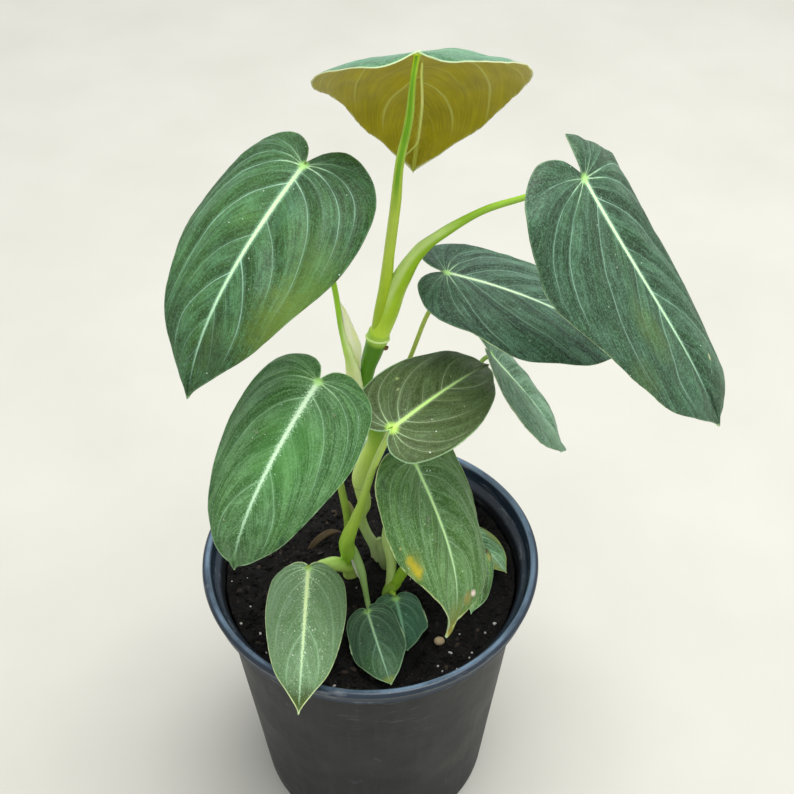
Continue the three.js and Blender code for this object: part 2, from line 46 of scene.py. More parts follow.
# ---------------------------------------------------------------- camera
# It stands in front of the plant, a little above it, and looks down at about 43 degrees through a
# slightly long lens, with everything in focus.
lens = bpy.data.cameras.new("camera")
lens.lens = 54.41
lens.sensor_width = 36
lens.clip_start = 0.01
camera = bpy.data.objects.new("camera", lens)
camera.location = (0.013, -0.377, 0.626)
camera.rotation_euler = (math.radians(46.6), 0, 0)
scene.collection.objects.link(camera)
scene.camera = camera
scene.view_settings.view_transform = "Standard"
scene.view_settings.look = "None"


# ---------------------------------------------------------------- floor and light
# A plain pale studio floor that runs well past the view, a bright even surround like an overcast sky,
# and one broad soft lamp high up, a little behind and to the right.
def linear(hex_colour):
    """sRGB hex, such as '3f6b4a', to linear RGBA."""
    parts = [int(hex_colour[i : i + 2], 16) / 255 for i in (0, 2, 4)]
    return tuple(c / 12.92 if c <= 0.04045 else ((c + 0.055) / 1.055) ** 2.4 for c in parts) + (1.0,)


def add_node(tree, kind, *inputs, **settings):
    """Adds a shader node with its settings. Its inputs follow in order, or in one dict by name: a number,
    a vector, a colour in hex, an output, or another node, which stands for its first output in use."""
    made = tree.nodes.new("ShaderNode" + kind)
    for key, value in settings.items():
        setattr(made, key, value)
    if inputs and isinstance(inputs[0], dict):
        pairs = [(made.inputs[key], value) for key, value in inputs[0].items()]
    else:
        pairs = list(zip([socket for socket in made.inputs if socket.enabled], inputs))
    for socket, value in pairs:
        if isinstance(value, bpy.types.Node):
            value = next(output for output in value.outputs if output.enabled)
        if isinstance(value, bpy.types.NodeSocket):
            tree.links.new(value, socket)
        else:
            socket.default_value = linear(value) if isinstance(value, str) else value
    return made


def painted(tree, colour, *coats):
    """Lays coats over a colour. A coat is its own colour and the masks that it shows through, multiplied.
    A mask is a node, or a tuple for a map range: a value, the low and the high between which it grows
    from 0 to 1, and two numbers more where it runs from and to others than these."""
    for shade, *masks in coats:
        masks = [add_node(tree, "MapRange", *mask) if isinstance(mask, tuple) else mask for mask in masks]
        cover = masks[0]
        for mask in masks[1:]:
            cover = add_node(tree, "Math", cover, mask, operation="MULTIPLY")
        colour = add_node(tree, "Mix", cover, colour, shade, data_type="RGBA")
    return colour


def new_finish(name):
    """A new material and its node tree, still empty."""
    made = bpy.data.materials.new(name)
    made.use_nodes = True
    made.node_tree.nodes.clear()
    return made, made.node_tree


def mottled(name, dark, pale, scale, detail, roughness, low=0, high=1):
    """A dull two-toned finish, clouded from dark to pale, with scale clouds to a metre."""
    made, tree = new_finish(name)
    clouds = add_node(tree, "TexNoise", add_node(tree, "TexCoord").outputs["Object"], scale, detail)
    dull = {"Base Color": painted(tree, dark, (pale, (clouds, low, high))), "Roughness": roughness}
    add_node(tree, "OutputMaterial", add_node(tree, "BsdfPrincipled", dull))
    return made


def piece_from(name, shape, *finishes, smooth=40):
    """Turns a bmesh into a smooth-shaded object, with creases sharper than smooth degrees kept."""
    mesh = bpy.data.meshes.new(name)
    shape.to_mesh(mesh)
    shape.free()
    for finish in finishes:
        mesh.materials.append(finish)
    mesh.shade_smooth()
    if smooth:
        mesh.set_sharp_from_angle(angle=math.radians(smooth))
    made = bpy.data.objects.new(name, mesh)
    scene.collection.objects.link(made)
    return made


# Matt floor paint, which shows no lamp.
shape = bmesh.new()
bmesh.ops.create_grid(shape, x_segments=2, y_segments=2, size=4)
floor = piece_from("floor", shape, mottled("pale floor paint", "b8b5aa", "c5c3b9", 9, 6, roughness=0.85))

sky = bpy.data.worlds.new("overcast")
sky.use_nodes = True
sky.node_tree.nodes["Background"].inputs["Color"].default_value = linear("f4f8fc")
sky.node_tree.nodes["Background"].inputs["Strength"].default_value = 1.0
scene.world = sky

lamp = bpy.data.lights.new("softbox", "AREA")
lamp.shape = "DISK"
lamp.size = 1.3
lamp.energy = 34
softbox = bpy.data.objects.new("softbox", lamp)
softbox.location = (0.35, 0.1, 1.85)
softbox.rotation_euler = (Vector((0, 0, 0.25)) - softbox.location).to_track_quat("-Z", "Y").to_euler()
scene.collection.objects.link(softbox)

# ---------------------------------------------------------------- pot
# A round black polypropylene nursery pot, moulded in one thin wall that tapers to the foot, with a
# rolled rim, a stacking ledge inside and six drain holes. Its soft rim is pressed in at the back.
MM = 0.001
POT_HEIGHT, RIM_SQUEEZE = 165, 0.055  # the share by which the back of the rim is pressed in
DRAIN_HOLES, DRAIN_RADIUS, DRAIN_CIRCLE = 6, 4.5, 46
POT_CREASE = 35  # degrees: the pot's edges sharper than this stay sharp


def squeezed(shape):
    """Presses the back of the rim in a little and leaves the foot round."""
    for corner in shape.verts:
        if corner.co.y > 0:
            corner.co.y *= 1 - RIM_SQUEEZE * corner.co.z / (POT_HEIGHT * MM)


# radius and height, from the middle of the foot up the outside, over the rim and down the inside
POT_PROFILE = [
    (0, 0.9), (44, 0.9), (52, 0.6), (57, 0), (60, 0), (61.2, 0.3), (61.8, 1), (62, 2.2), (63.1, 15),
    (66.3, 54), (69.6, 92), (72.7, 129), (74.3, 148), (74.75, 153.6), (75, 154.9), (75.9, 155.5),
    (79.6, 155.6), (80.5, 155.9), (80.9, 156.6), (80.7, 157.6), (80.75, 159.6), (81.05, 161), (81.8, 161.7),
    (82.35, 162.4), (82.5, 163.2), (82.2, 164.2), (81.5, 164.8), (80.6, 165), (79.5, 164.95), (78.7, 164.5),
    (78.2, 163.6), (78, 162.4), (77.6, 158.4), (77, 157.4), (75.2, 156.4), (74, 155.2), (73.3, 153),
    (72, 137), (66.8, 77), (60.4, 4.4), (59.9, 2.8), (58.7, 1.9), (40, 1.7), (0, 1.7),
]
shape = bmesh.new()
corners = [shape.verts.new((radius * MM, 0, height * MM)) for radius, height in POT_PROFILE]
edges = [shape.edges.new(pair) for pair in zip(corners, corners[1:])]
bmesh.ops.spin(
    shape, geom=corners + edges, axis=(0, 0, 1), cent=(0, 0, 0), steps=144, angle=2 * math.pi, use_merge=True
)
bmesh.ops.remove_doubles(shape, verts=shape.verts, dist=1e-6)
bmesh.ops.recalc_face_normals(shape, faces=shape.faces)
squeezed(shape)

# Black polypropylene, moulded satin: a soft dim shine, faint upright flow streaks, pale dull scuffs round
# the top of the wall where pots were stacked, and a glossier rim painted blue-black as a painted sky
# reflection, with a painted pale highlight along its crest.
moulded_pp, tree = new_finish("black moulded polypropylene")
place = add_node(tree, "TexCoord").outputs["Object"]
height = add_node(tree, "SeparateXYZ", place).outputs["Z"]
level = add_node(tree, "VectorMath", place, (1, 1, 0), operation="MULTIPLY")
from_axis = add_node(tree, "VectorMath", level, operation="LENGTH")
# Patterns, by how many there are to a metre across and up, their detail and how rough it is.
streaks, clouds, pores, rim_highlight_streaks, scratches, rubs = (
    add_node(tree, "TexNoise", add_node(tree, "Mapping", {"Vector": place, "Scale": often}), 1, detail, rough)
    for often, detail, rough in (
        ((260, 260, 9), 4, 0.5), ((28, 28, 28), 5, 0.6), ((900, 900, 900), 3, 0.5),
        ((30, 30, 1400), 5, 0.7), ((55, 55, 430), 5, 0.7), ((60, 60, 60), 7, 0.75),
    )
)
on_rim = add_node(tree, "MapRange", height, 154.5 * MM, 156.5 * MM)
black = painted(
    tree, "0b0c0e",
    ("191b1e", clouds),
    ("27292c", (streaks, 0.5, 0.8, 0, 0.6)),
    # painted sky reflection: the rim is painted a cloudy blue-black
    (painted(tree, "10161f", ("334150", clouds)), on_rim),
    # painted highlight: pale steel-blue streaks along the upward-facing crest of the rim
    ("6c8296", (rim_highlight_streaks, 0.4, 0.62, 0.25, 1), (height, 163.8 * MM, 164.9 * MM),
     (from_axis, 81.4 * MM, 80.3 * MM)),
    ("7a7f83", (scratches, 0.57, 0.68, 0, 0.5), (height, 105 * MM, 146 * MM)),
    ("8b9299", (rubs, 0.64, 0.74, 0, 0.35)),
)
satin = add_node(tree, "MapRange", clouds, 0.3, 0.7, 0.42, 0.58)
pitted = add_node(tree, "Bump", {"Strength": 0.25, "Distance": 0.2 * MM, "Height": pores})
drawn = {"Strength": 0.2, "Distance": 0.6 * MM, "Height": streaks, "Normal": pitted}
add_node(tree, "OutputMaterial", add_node(tree, "BsdfPrincipled", {
    "Base Color": black, "Roughness": add_node(tree, "Mix", on_rim, satin, 0.24),
    "IOR": 1.49, "Specular IOR Level": 0.3, "Normal": add_node(tree, "Bump", drawn),
}))

pot = piece_from("nursery_pot", shape, moulded_pp, smooth=POT_CREASE)
punch = bmesh.new()
for i in range(DRAIN_HOLES):
    angle = 2 * math.pi * (i + 0.5) / DRAIN_HOLES
    at = Matrix.Translation((DRAIN_CIRCLE * MM * math.cos(angle), DRAIN_CIRCLE * MM * math.sin(angle), 0))
    bmesh.ops.create_cone(
        punch, cap_ends=True, segments=40, radius1=DRAIN_RADIUS * MM, radius2=DRAIN_RADIUS * MM, depth=0.01,
        matrix=at,
    )
punch = piece_from("drain_punch", punch, moulded_pp)
cut = pot.modifiers.new("drain holes", "BOOLEAN")
cut.object = punch
cut.solver = "EXACT"
bpy.context.view_layer.update()
drilled = bpy.data.meshes.new_from_object(pot.evaluated_get(bpy.context.evaluated_depsgraph_get()))
pot.modifiers.clear()
pot.data = drilled
pot.data.set_sharp_from_angle(angle=math.radians(POT_CREASE))
bpy.data.objects.remove(punch)
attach(pot, "root")
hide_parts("pot")

# ---------------------------------------------------------------- potting mix
# Damp black peat and composted bark that fills the pot to 15 mm under the rim: a lumpy bed with loose
# crumbs, bark chips, a few white perlite beads and one tan pebble lying on it.
SOIL_LEVEL, SOIL_RADIUS, SOIL_FOOT, SOIL_TAPER = 149.5, 71.9, 2.0, 0.83
SOIL_MOUND, SOIL_HUMPS, SOIL_CRUMBS, SOIL_GRIT = 1.8, 0.77, (2.0, 1.5), 0.5
SHOOTS_AT = ((5.5, 3.5), (8.8, -17.5))  # the mix is heaped up a little round the shoots


def soil_height(x, y):
    """Height of the bed in mm: a low mound, heaps round the shoots, slow humps, crumbs and grit."""
    mound = SOIL_MOUND * (1 - (x * x + y * y) / SOIL_RADIUS**2)
    mound += sum(SOIL_MOUND * math.exp(-((x - a) ** 2 + (y - b) ** 2) / 60) for a, b in SHOOTS_AT)
    humps = math.sin(0.31 * x + 1.3) * math.cos(0.27 * y + 0.4) + 0.6 * math.sin(0.52 * x - 0.43 * y + 2)
    large, small = SOIL_CRUMBS
    crumbs = large * noise.noise((x / 6, y / 6, 3.1)) + small * abs(noise.noise((x / 2.6, y / 2.6, 7.7)))
    return SOIL_LEVEL + mound + SOIL_HUMPS * humps + crumbs + SOIL_GRIT * noise.noise((x / 1.1, y / 1.1, 1.9))


shape = bmesh.new()
bmesh.ops.create_grid(shape, x_segments=170, y_segments=170, size=1)
for corner in shape.verts:  # the square grid is eased out to a disc
    u, v = corner.co.x, corner.co.y
    x, y = SOIL_RADIUS * u * math.sqrt(1 - v * v / 2), SOIL_RADIUS * v * math.sqrt(1 - u * u / 2)
    corner.co = (x * MM, y * MM, soil_height(x, y) * MM)
skirt = bmesh.ops.extrude_edge_only(shape, edges=[edge for edge in shape.edges if edge.is_boundary])["geom"]
for corner in skirt:
    if isinstance(corner, bmesh.types.BMVert):
        corner.co = (corner.co.x * SOIL_TAPER, corner.co.y * SOIL_TAPER, SOIL_FOOT * MM)
bmesh.ops.contextual_create(shape, geom=[part for part in skirt if isinstance(part, bmesh.types.BMEdge)])
bmesh.ops.recalc_face_normals(shape, faces=shape.faces)
squeezed(shape)

# Damp peat: nearly black and matt, with brown fibres.
peat, tree = new_finish("damp peat and composted bark")
place = add_node(tree, "TexCoord").outputs["Object"]
patches = add_node(tree, "TexNoise", place, 120, 6, 0.7)
fibres = add_node(tree, "TexNoise", place, 620, 4, 0.7)
add_node(tree, "OutputMaterial", add_node(tree, "BsdfPrincipled", {
    "Base Color": painted(tree, "040303", ("13100e", patches), ("46382c", (fibres, 0.58, 0.72))),
    "Roughness": 0.85, "Specular IOR Level": 0.25,
    "Normal": add_node(tree, "Bump", {"Strength": 0.7, "Distance": 0.8 * MM, "Height": fibres}),
}))
bed = piece_from("potting_mix", shape, peat, smooth=0)
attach(bed, "root")
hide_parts("soil")

draw = random.Random(11)


def scattered(name, count, sizes, flatness, finish, sunk, spots=()):
    """Many small lumps that lie on the bed: a low ball each, squashed, turned and dented. The first lie
    at the spots given (x, y, size), the rest anywhere."""
    heap = bmesh.new()
    for i in range(count + len(spots)):
        if i < len(spots):
            x, y, size = spots[i]
        else:
            reach, angle = SOIL_RADIUS * math.sqrt(draw.random()) * 0.97, draw.uniform(0, 2 * math.pi)
            x, y, size = reach * math.cos(angle), reach * math.sin(angle), draw.uniform(*sizes)
        size *= MM
        turn = Matrix.Rotation(draw.uniform(0, 6.28), 4, "Z") @ Matrix.Rotation(draw.uniform(-0.6, 0.6), 4, "X")
        squash = Matrix.Diagonal((1, draw.uniform(0.55, 0.95), draw.uniform(*flatness), 1))
        at = Matrix.Translation((x * MM, y * MM, soil_height(x, y) * MM + size * sunk))
        lump = bmesh.ops.create_icosphere(heap, subdivisions=1, radius=size, matrix=at @ turn @ squash)["verts"]
        for corner in lump:
            corner.co += Vector([draw.uniform(-0.22, 0.22) * size for _ in range(3)])
    squeezed(heap)
    made = piece_from(name, heap, finish, smooth=30)
    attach(made, "root")


# Composted bark is dull brown flakes, paler on their broken faces. Perlite is heated volcanic glass,
# chalk white and matt under a dusty film of peat.
bark = mottled("composted pine bark", "140e0b", "40301f", 160, 5, roughness=0.85, low=0.35, high=0.7)
perlite = mottled("expanded perlite", "8d877f", "f3f1ec", 700, 4, roughness=0.95)
PERLITE_AT = [
    (38, -50, 1.0), (41, -58, 0.9), (60, -33, 1.1), (-16, -67, 0.9), (-52, -39, 0.9), (-62, -33, 0.9),
    (34, -60, 0.6), (47, -52, 0.6), (-45, -49, 0.6), (-58, -24, 0.6), (55, -38, 0.6),
]
scattered("peat_crumbs", 1500, (0.5, 1.5), (0.6, 0.95), peat, 0.1)
scattered("bark_chips", 90, (0.8, 2.0), (0.2, 0.4), bark, 0.2)
scattered("perlite_beads", 22, (0.35, 0.75), (0.7, 1.0), perlite, 0.35, PERLITE_AT)

# A river pebble: warm tan, smooth, with a faint mottle.
PEBBLE_AT, PEBBLE_RADIUS, PEBBLE_RISE, PEBBLE_SHAPE = (33, -43), 2.6, 0.9, (1, 0.85, 0.7, 1)
shape = bmesh.new()
at = Matrix.Translation((*(c * MM for c in PEBBLE_AT), (soil_height(*PEBBLE_AT) + PEBBLE_RISE) * MM))
bmesh.ops.create_icosphere(
    shape, subdivisions=4, radius=PEBBLE_RADIUS * MM, matrix=at @ Matrix.Diagonal(PEBBLE_SHAPE)
)
pebble = piece_from("pebble", shape, mottled("tan river pebble", "8a6f4c", "d8c39a", 380, 4, roughness=0.6))
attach(pebble, "root")

# ---------------------------------------------------------------- shoots
# Three fleshy green shoots stand in the mix. The tall one zigzags a little from node to node and ends
# in a pale leaf-scar ring. Each is a tube through its nodes (x, y, z, radius), thicker at a leaf.
SHOOT_FOOT = SOIL_LEVEL - 10
SHOOTS = {
    "tall": [
        (6, 4, SHOOT_FOOT, 3.9), (4, 5, 153, 3.7), (1.6, 6, 162.5, 2.7), (-2.2, 8, 170.5, 2.4),
        (-4.6, 9.5, 180, 2.5), (-2.8, 10, 189, 3.2), (-3.8, 10, 199, 3.5), (-4.4, 10, 208, 4),
        (-1.6, 10, 217, 4.2), (3.9, 10, 235, 4.4), (2, 10, 251, 4), (-1.1, 10, 267, 3.3), (0.1, 10, 277, 3.5),
        (3, 10, 288, 4.2), (4.9, 10, 295, 4.8), (5.6, 10, 298, 4.6),
    ],
    "left": [(-10, -3, SHOOT_FOOT, 3.6), (-10, -4, 158, 4), (-10, -6, 168, 4.4)],
    "right": [(8.5, -16.5, SHOOT_FOOT, 3.3), (9.3, -16, 154, 3.4), (12.3, -15, 160.5, 3.2)],
}


def smooth_route(route, pieces):
    """Points and radii at even steps on a smooth curve through the route (centripetal Catmull-Rom)."""
    line = np.array(route, float)
    ends = [2 * line[0] - line[1], *line, 2 * line[-1] - line[-2]]
    fine_points = []
    for before, start, stop, after in zip(ends, ends[1:], ends[2:], ends[3:]):
        chord = stop - start
        spans = (start - before, chord, after - stop)
        first, middle, last = (max(np.linalg.norm(span[:3]), 1e-6) ** 0.5 for span in spans)
        lead = ((start - before) / first - (stop - before) / (first + middle) + chord / middle) * middle
        trail = (chord / middle - (after - start) / (middle + last) + (after - stop) / last) * middle
        bend, twist = 3 * chord - 2 * lead - trail, lead + trail - 2 * chord
        for share in np.linspace(0, 1, 24, endpoint=False):
            square, cube = share**2, share**3
            point = start + share * lead + square * bend + cube * twist
            point[3] = start[3] + (3 * square - 2 * cube) * chord[3]
            fine_points.append(point)
    fine_points = np.array(fine_points + [line[-1]])
    along = np.concatenate([[0], np.cumsum(np.linalg.norm(np.diff(fine_points[:, :3], axis=0), axis=1))])
    even = np.linspace(0, along[-1], pieces + 1)
    return np.stack([np.interp(even, along, fine_points[:, k]) for k in range(4)], axis=1), even


def tube(name, route, finish, sides=28, step=1.6, swell=None):
    """A closed round tube along the route: a grid is rolled up round the curve and its two ends are
    filled. swell(share, angle) scales its radius. skin_place keeps each point's length along, angle
    round and share of the length for the finish."""
    pieces = max(6, round(sum(math.dist(a[:3], b[:3]) for a, b in zip(route, route[1:])) / step))
    line, even = smooth_route(route, pieces)
    heading = np.gradient(line[:, :3], axis=0)
    heading /= np.linalg.norm(heading, axis=1)[:, None]
    shape = bmesh.new()
    bmesh.ops.create_grid(shape, x_segments=pieces, y_segments=sides, size=1)
    marks = shape.verts.layers.float_vector.new("skin_place")
    side = Vector((-1, 0, 0)).cross(Vector(heading[0])).normalized()
    spokes = []
    for direction in heading:  # carry one side vector along without twist
        direction = Vector(direction)
        side = (side - direction * side.dot(direction)).normalized()
        spokes.append((side.copy(), direction.cross(side)))
    for corner in shape.verts:
        i = round((corner.co.x + 1) / 2 * pieces)
        angle = (corner.co.y + 1) * math.pi
        radius = line[i][3] * (swell(i / pieces, angle) if swell else 1)
        u, v = spokes[i]
        corner.co = Vector(line[i][:3]) * MM + (u * math.cos(angle) + v * math.sin(angle)) * radius * MM
        corner[marks] = (even[i], angle, i / pieces)
    bmesh.ops.remove_doubles(shape, verts=shape.verts, dist=1e-6)
    bmesh.ops.holes_fill(shape, edges=[edge for edge in shape.edges if edge.is_boundary], sides=0)
    bmesh.ops.recalc_face_normals(shape, faces=shape.faces)
    made = piece_from(name, shape, finish, smooth=50)
    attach(made, "root")
    return made


def skin_fibres(tree, across, often, detail):
    """Where a tube's surface lies on it, and fibres that run along it, finer for a larger across."""
    spot = add_node(tree, "Attribute", attribute_name="skin_place").outputs["Vector"]
    drawn = add_node(tree, "Mapping", {"Vector": spot, "Scale": (*across, 0)})
    return spot, add_node(tree, "TexNoise", drawn, often, detail)


def plant_skin(name, shades, roughness=0.4, stripe=None, glow=0.15):
    """Living green skin: waxy and a little see-through, with fine upright fibres under it. shades are
    (share of the length, colour) from foot to tip. stripe is its angle from the back by the left, half
    its width, its colour, and the shares of the length that it runs from and to."""
    made, tree = new_finish(name)
    spot, fibres = skin_fibres(tree, (0.05, 3), 2, 4)
    _, angle, along = add_node(tree, "SeparateXYZ", spot).outputs
    mottle = add_node(tree, "TexNoise", add_node(tree, "TexCoord").outputs["Object"], 90, 5)
    green = add_node(tree, "ValToRGB", along)
    stops = green.color_ramp.elements
    while len(stops) < len(shades):
        stops.new(0.5)
    for stop, (share, colour) in zip(stops, shades):
        stop.position = share
        stop.color = linear(colour)
    if stripe:
        middle, half, colour, start, end = stripe
        away = add_node(tree, "Math", angle, middle, operation="SUBTRACT")
        away = add_node(tree, "Math", away, operation="COSINE")
        inside = (math.cos(1.3 * half), math.cos(0.4 * half), 0, 0.85)
        inside = add_node(tree, "MapRange", away, *inside, interpolation_type="SMOOTHSTEP")
        green = painted(tree, green, (colour, inside, (along, start, start + 0.1), (along, end, end - 0.1)))
    worn = add_node(tree, "MapRange", add_node(tree, "Math", fibres, mottle, operation="ADD"), 0.8, 1.2, 0.2, 0)
    add_node(tree, "OutputMaterial", add_node(tree, "BsdfPrincipled", {
        "Base Color": add_node(tree, "Mix", worn, green, "8fa070", data_type="RGBA", blend_type="MULTIPLY"),
        "Roughness": roughness, "IOR": 1.4,
        "Subsurface Weight": glow, "Subsurface Scale": 2 * MM, "Subsurface Radius": (0.5, 1.0, 0.25),
        "Normal": add_node(tree, "Bump", {"Strength": 0.35, "Distance": 0.3 * MM, "Height": fibres}),
    }))
    return made


SHOOT_SHADES = {
    "tall": [
        (0, "c3cb9d"), (0.2, "a8bc7a"), (0.3, "b4cc6c"), (0.42, "d0e684"), (0.55, "bcd858"), (0.7, "66a018"),
        (0.962, "568c0a"), (0.975, "a8cc48"), (1, "b4d850"),
    ],
    "left": [(0, "dce8ac"), (0.5, "ccec74"), (1, "b8e050")],
    "right": [(0, "b3c07f"), (0.6, "97bc54"), (1, "92b438")],
}
for name, route in SHOOTS.items():
    skin = plant_skin(f"waxy {name} shoot skin", SHOOT_SHADES[name])
    shoot = tube(f"shoot_{name}", route, skin, sides=36)
    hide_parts(f"stem_{name}")

# Scars left by old leaves: a pale corky ring round the head of the tall shoot and a thin one half way
# down. Each is its centre, radius, thickness, lean about Y and X, finish and shades.
for name, centre, around, thick, lean, finish, shades, roughness in (
    ("upper", (4.8, 10, 294.8), 4.8, 0.55, (8, -12), "pale corky leaf scar", ("d4f290", "e6fab0"), 0.5),
    ("lower", (-4.1, 10, 202.4), 3.6, 0.35, (-4, -8), "worn leaf scar", ("8a9a58", "a8b070"), 0.6),
):
    tilt = Matrix.Rotation(math.radians(lean[0]), 3, "Y") @ Matrix.Rotation(math.radians(lean[1]), 3, "X")
    ring = [
        (*(Vector(centre) + tilt @ Vector((around * math.cos(a), around * math.sin(a), 0))), thick)
        for a in np.linspace(1.57, 1.57 + 2 * math.pi, 17)
    ]
    skin = plant_skin(finish, list(enumerate(shades)), roughness)
    tube(f"leaf_scar_{name}", ring, skin, sides=12, step=0.8)

# A brown dormant bud sits under the upper scar.
BUD_SHADES = [(0, "9cb04c"), (0.5, "8a6a3c"), (1, "5c4428")]
BUD_ROUTE = [(7.2, 8.4, 290.2, 0.9), (8.3, 7.7, 290.9, 1.1), (9.1, 7.4, 291.8, 0.5)]
bud_skin = plant_skin("dry dormant bud", BUD_SHADES, roughness=0.7, glow=0.0)
tube("dormant_bud", BUD_ROUTE, bud_skin, sides=14, step=0.5)

# Remains of old sheaths between the shoots: a soft pale bud at the foot of the tall one, and a curled
# scrap and a white tip beside the left one.
for name, shades, route in (
    (
        "soft_pale_bud", [(0, "7c8c50"), (0.6, "a4b47c"), (1, "8ea060")],
        [(7, 1, 148, 2), (6.8, 1, 157, 3), (5.8, 2, 164, 2.7), (4, 4, 170, 1.5)],
    ), (
        "sheath_scrap", [(0, "6a7a34"), (0.5, "9c9c60"), (1, "a89868")],
        [(-6.9, -9.6, 200, 0.8), (-7.7, -9.3, 205, 1.2), (-9.2, -9, 210.5, 0.9), (-10.4, -9.2, 213, 0.4)],
    ), (
        "sheath_tip", [(0, "c8d890"), (0.6, "f0f4e0")],
        [(-11.6, -11, 216.5, 0.5), (-12.2, -10, 220.5, 0.8), (-12.9, -9, 223, 0.4)],
    ),
):
    skin = plant_skin(f"old sheath skin {name.replace('_', ' ')}", shades, roughness=0.6)
    tube(name, route, skin, sides=20, step=0.8)

# ---------------------------------------------------------------- leaf blades
# Thirteen heart-shaped blades, each a thin fleshy sheet with a velvet upper face. The side veins are
# sunk in the top and stand out below, and the face quilts up between them.

# A blade's x runs from the stalk's junction to the tip, y to the left and z out of its upper face, and
# pairs are left and right. A row is the junction, length, width, heading, pitch, roll, droop of the
# midrib and arch of the halves, then what is not typical: curl is droop that grows towards the tip, fold
# lifts a half at the midrib, lobe_droop turns the lobes down and pinch the left one in. lobe, widest,
# fullness and taper shape the outline, wave ruffles it, and bow bends the side veins.
TYPICAL = dict(
    curl=10, fold=(8, 8), lobe_droop=(20, 20), pinch=0, lobe=0.13, widest=(0.27, 0.27), fullness=(0.92, 0.92),
    taper=(0.2, 0.2), wave=0.8, bow=(1, 1),
)
ROW = ("at", "length", "width", "heading", "pitch", "roll", "droop", "arch")
LEAVES = {
    "top": ((20, 0.5, 430.7), 115, 82, 84, 24, 7, 56, (18, 21), dict(
        curl=12, fold=(-15, 12), lobe_droop=(18, 15), widest=(0.23, 0.22), fullness=(0.95, 1.01),
        taper=(-0.1, -0.15))),
    "upper_left": ((-21, -2, 387), 98, 72, -125, 21, -2, 20, (50, 46), dict(
        curl=40, widest=(0.3, 0.3), fullness=(0.86, 0.86))),
    "upper_right": ((80, -10.7, 387.2), 120, 88, -22, 56, 10, -11, (77, 35), dict(
        curl=24, fold=(15, 11), lobe_droop=(52, 28), pinch=64, lobe=0.14, widest=(0.1, 0.2),
        fullness=(0.72, 0.88), taper=(-1.5, -0.1), bow=(0.5, 0.85))),
    "mid_right": ((34, 23, 319), 90, 63, -7, 11, -9, 21, (19, 51), dict(
        widest=(0.2, 0.2), fullness=(1.15, 1.15), taper=(0.1, 0.1), bow=(0.7, 0.7))),
    "back_right": ((57, 44, 254.8), 83, 61, 9, 56, 4, -1, (55, 39), dict(
        curl=21, fold=(19, 20), lobe_droop=(20, -13), lobe=0.16, widest=(0.27, 0.29), fullness=(0.99, 0.96),
        taper=(0, 0.2))),
    "mid_left": ((-18, -30.5, 306.4), 92, 61, -118, 12, -11, 52, (42, 62), dict(
        curl=45, fold=(-4, 8), fullness=(0.88, 0.88))),
    "centre": ((11, -39, 289), 71, 45, 46, -3, 22, 28, (36, 28), dict(
        fold=(12, 19), lobe=0.11, widest=(0.24, 0.24), fullness=(1, 1))),
    "low_centre": ((20.3, -22.6, 252.4), 84, 61, -55, 43, -32, 9, (51, 50), dict(
        curl=52, fold=(31, 10), lobe_droop=(20, 29), lobe=0.11, widest=(0.31, 0.38), fullness=(0.88, 0.71),
        taper=(1.7, 0), wave=1)),
    "front_left": ((-28, -28, 187), 70, 44, -90, -5, -4, 35, (51, 46), dict(
        fold=(-4, -8), lobe=0.09, taper=(0.4, 0.4), wave=0.5)),
    "front_small": ((-1, -34, 162), 40, 28, -77, -10, 14, 30, (51, 40), dict(
        fold=(0, 0), widest=(0.31, 0.31), fullness=(1.07, 1.07), taper=(-0.5, -0.5), wave=0.1)),
    "front_dark": ((12.5, -24, 158.3), 29, 24, -79, -6, 0, 16, (34, 34), dict(
        lobe=0.15, widest=(0.35, 0.35), fullness=(1.12, 1.12), taper=(-0.5, -0.5), wave=0.1)),
    "low_right": ((51.8, -1, 168.3), 34, 23, -88, 4, -31, 27, (36, 37), dict(lobe=0.15, wave=0.4)),
    "low_back": ((50.2, 13.6, 161), 27, 19, -50, -3, 0, 22, (30, 36), dict(lobe=0.15, wave=0.3)),
}
LEAVES = {name: TYPICAL | dict(zip(ROW, row)) | odd for name, (*row, odd) in LEAVES.items()}
BLADE_THICK, RIB_DEPTH, RIB_WIDE = 0.8, 1.2, 3.4  # the midrib stands out below the sheet
RIB_CREST, RIB_CREST_WIDE = 0.35, 1.0  # and a little on top
QUILT_HIGH, QUILT_WIDE = 1.1, 5.0  # pillows between the main veins
CREASE_DEEP, CREASE_WIDE = 0.15, 2.0  # a soft crease on top of every vein
GROOVE_DEEP, GROOVE_WIDE = 0.1, 0.7  # a sharper one in its middle
CORD_DEEP, CORD_WIDE = 0.3, 0.6  # the vein below
BUCKLES_HIGH, BUCKLES_WIDE = (1.1, 0.25), (15, 4)  # slow ones and quick ones
VEIN_SLIP, SLIP_AT, SLIP_WIDE = 0.011, 0.79, 0.13  # the veins of the halves don't quite meet
BEND_STEPS = 16
# A side vein leaves the midrib at start and bows through a control point to its end on the margin.
# share goes round the margin from the notch (0) to the tip (1): share, start x, control x, control y.
VEIN_FIELD = np.array([
    (0, 0, -0.01, 0), (0.1, 0, -0.03, 0.09), (0.2, 0, -0.06, 0.24), (0.3, 0, -0.1, 0.42),
    (0.4, 0, -0.12, 0.66), (0.48, 0, -0.13, 0.88), (0.54, 0, -0.12, 0.965), (0.6, 0, 0.02, 0.99),
    (0.65, 0.03, 0.1, 0.9), (0.7, 0.075, 0.205, 0.76), (0.75, 0.24, 0.42, 0.68), (0.81, 0.43, 0.63, 0.54),
    (0.88, 0.62, 0.78, 0.31), (0.93, 0.78, 0.88, 0.15), (1, 1, 1, 0),
])
VEIN_OUTLINE = TYPICAL | dict(widest=(0.3, 0.3), fullness=(0.86, 0.86))  # the outline that the field is for
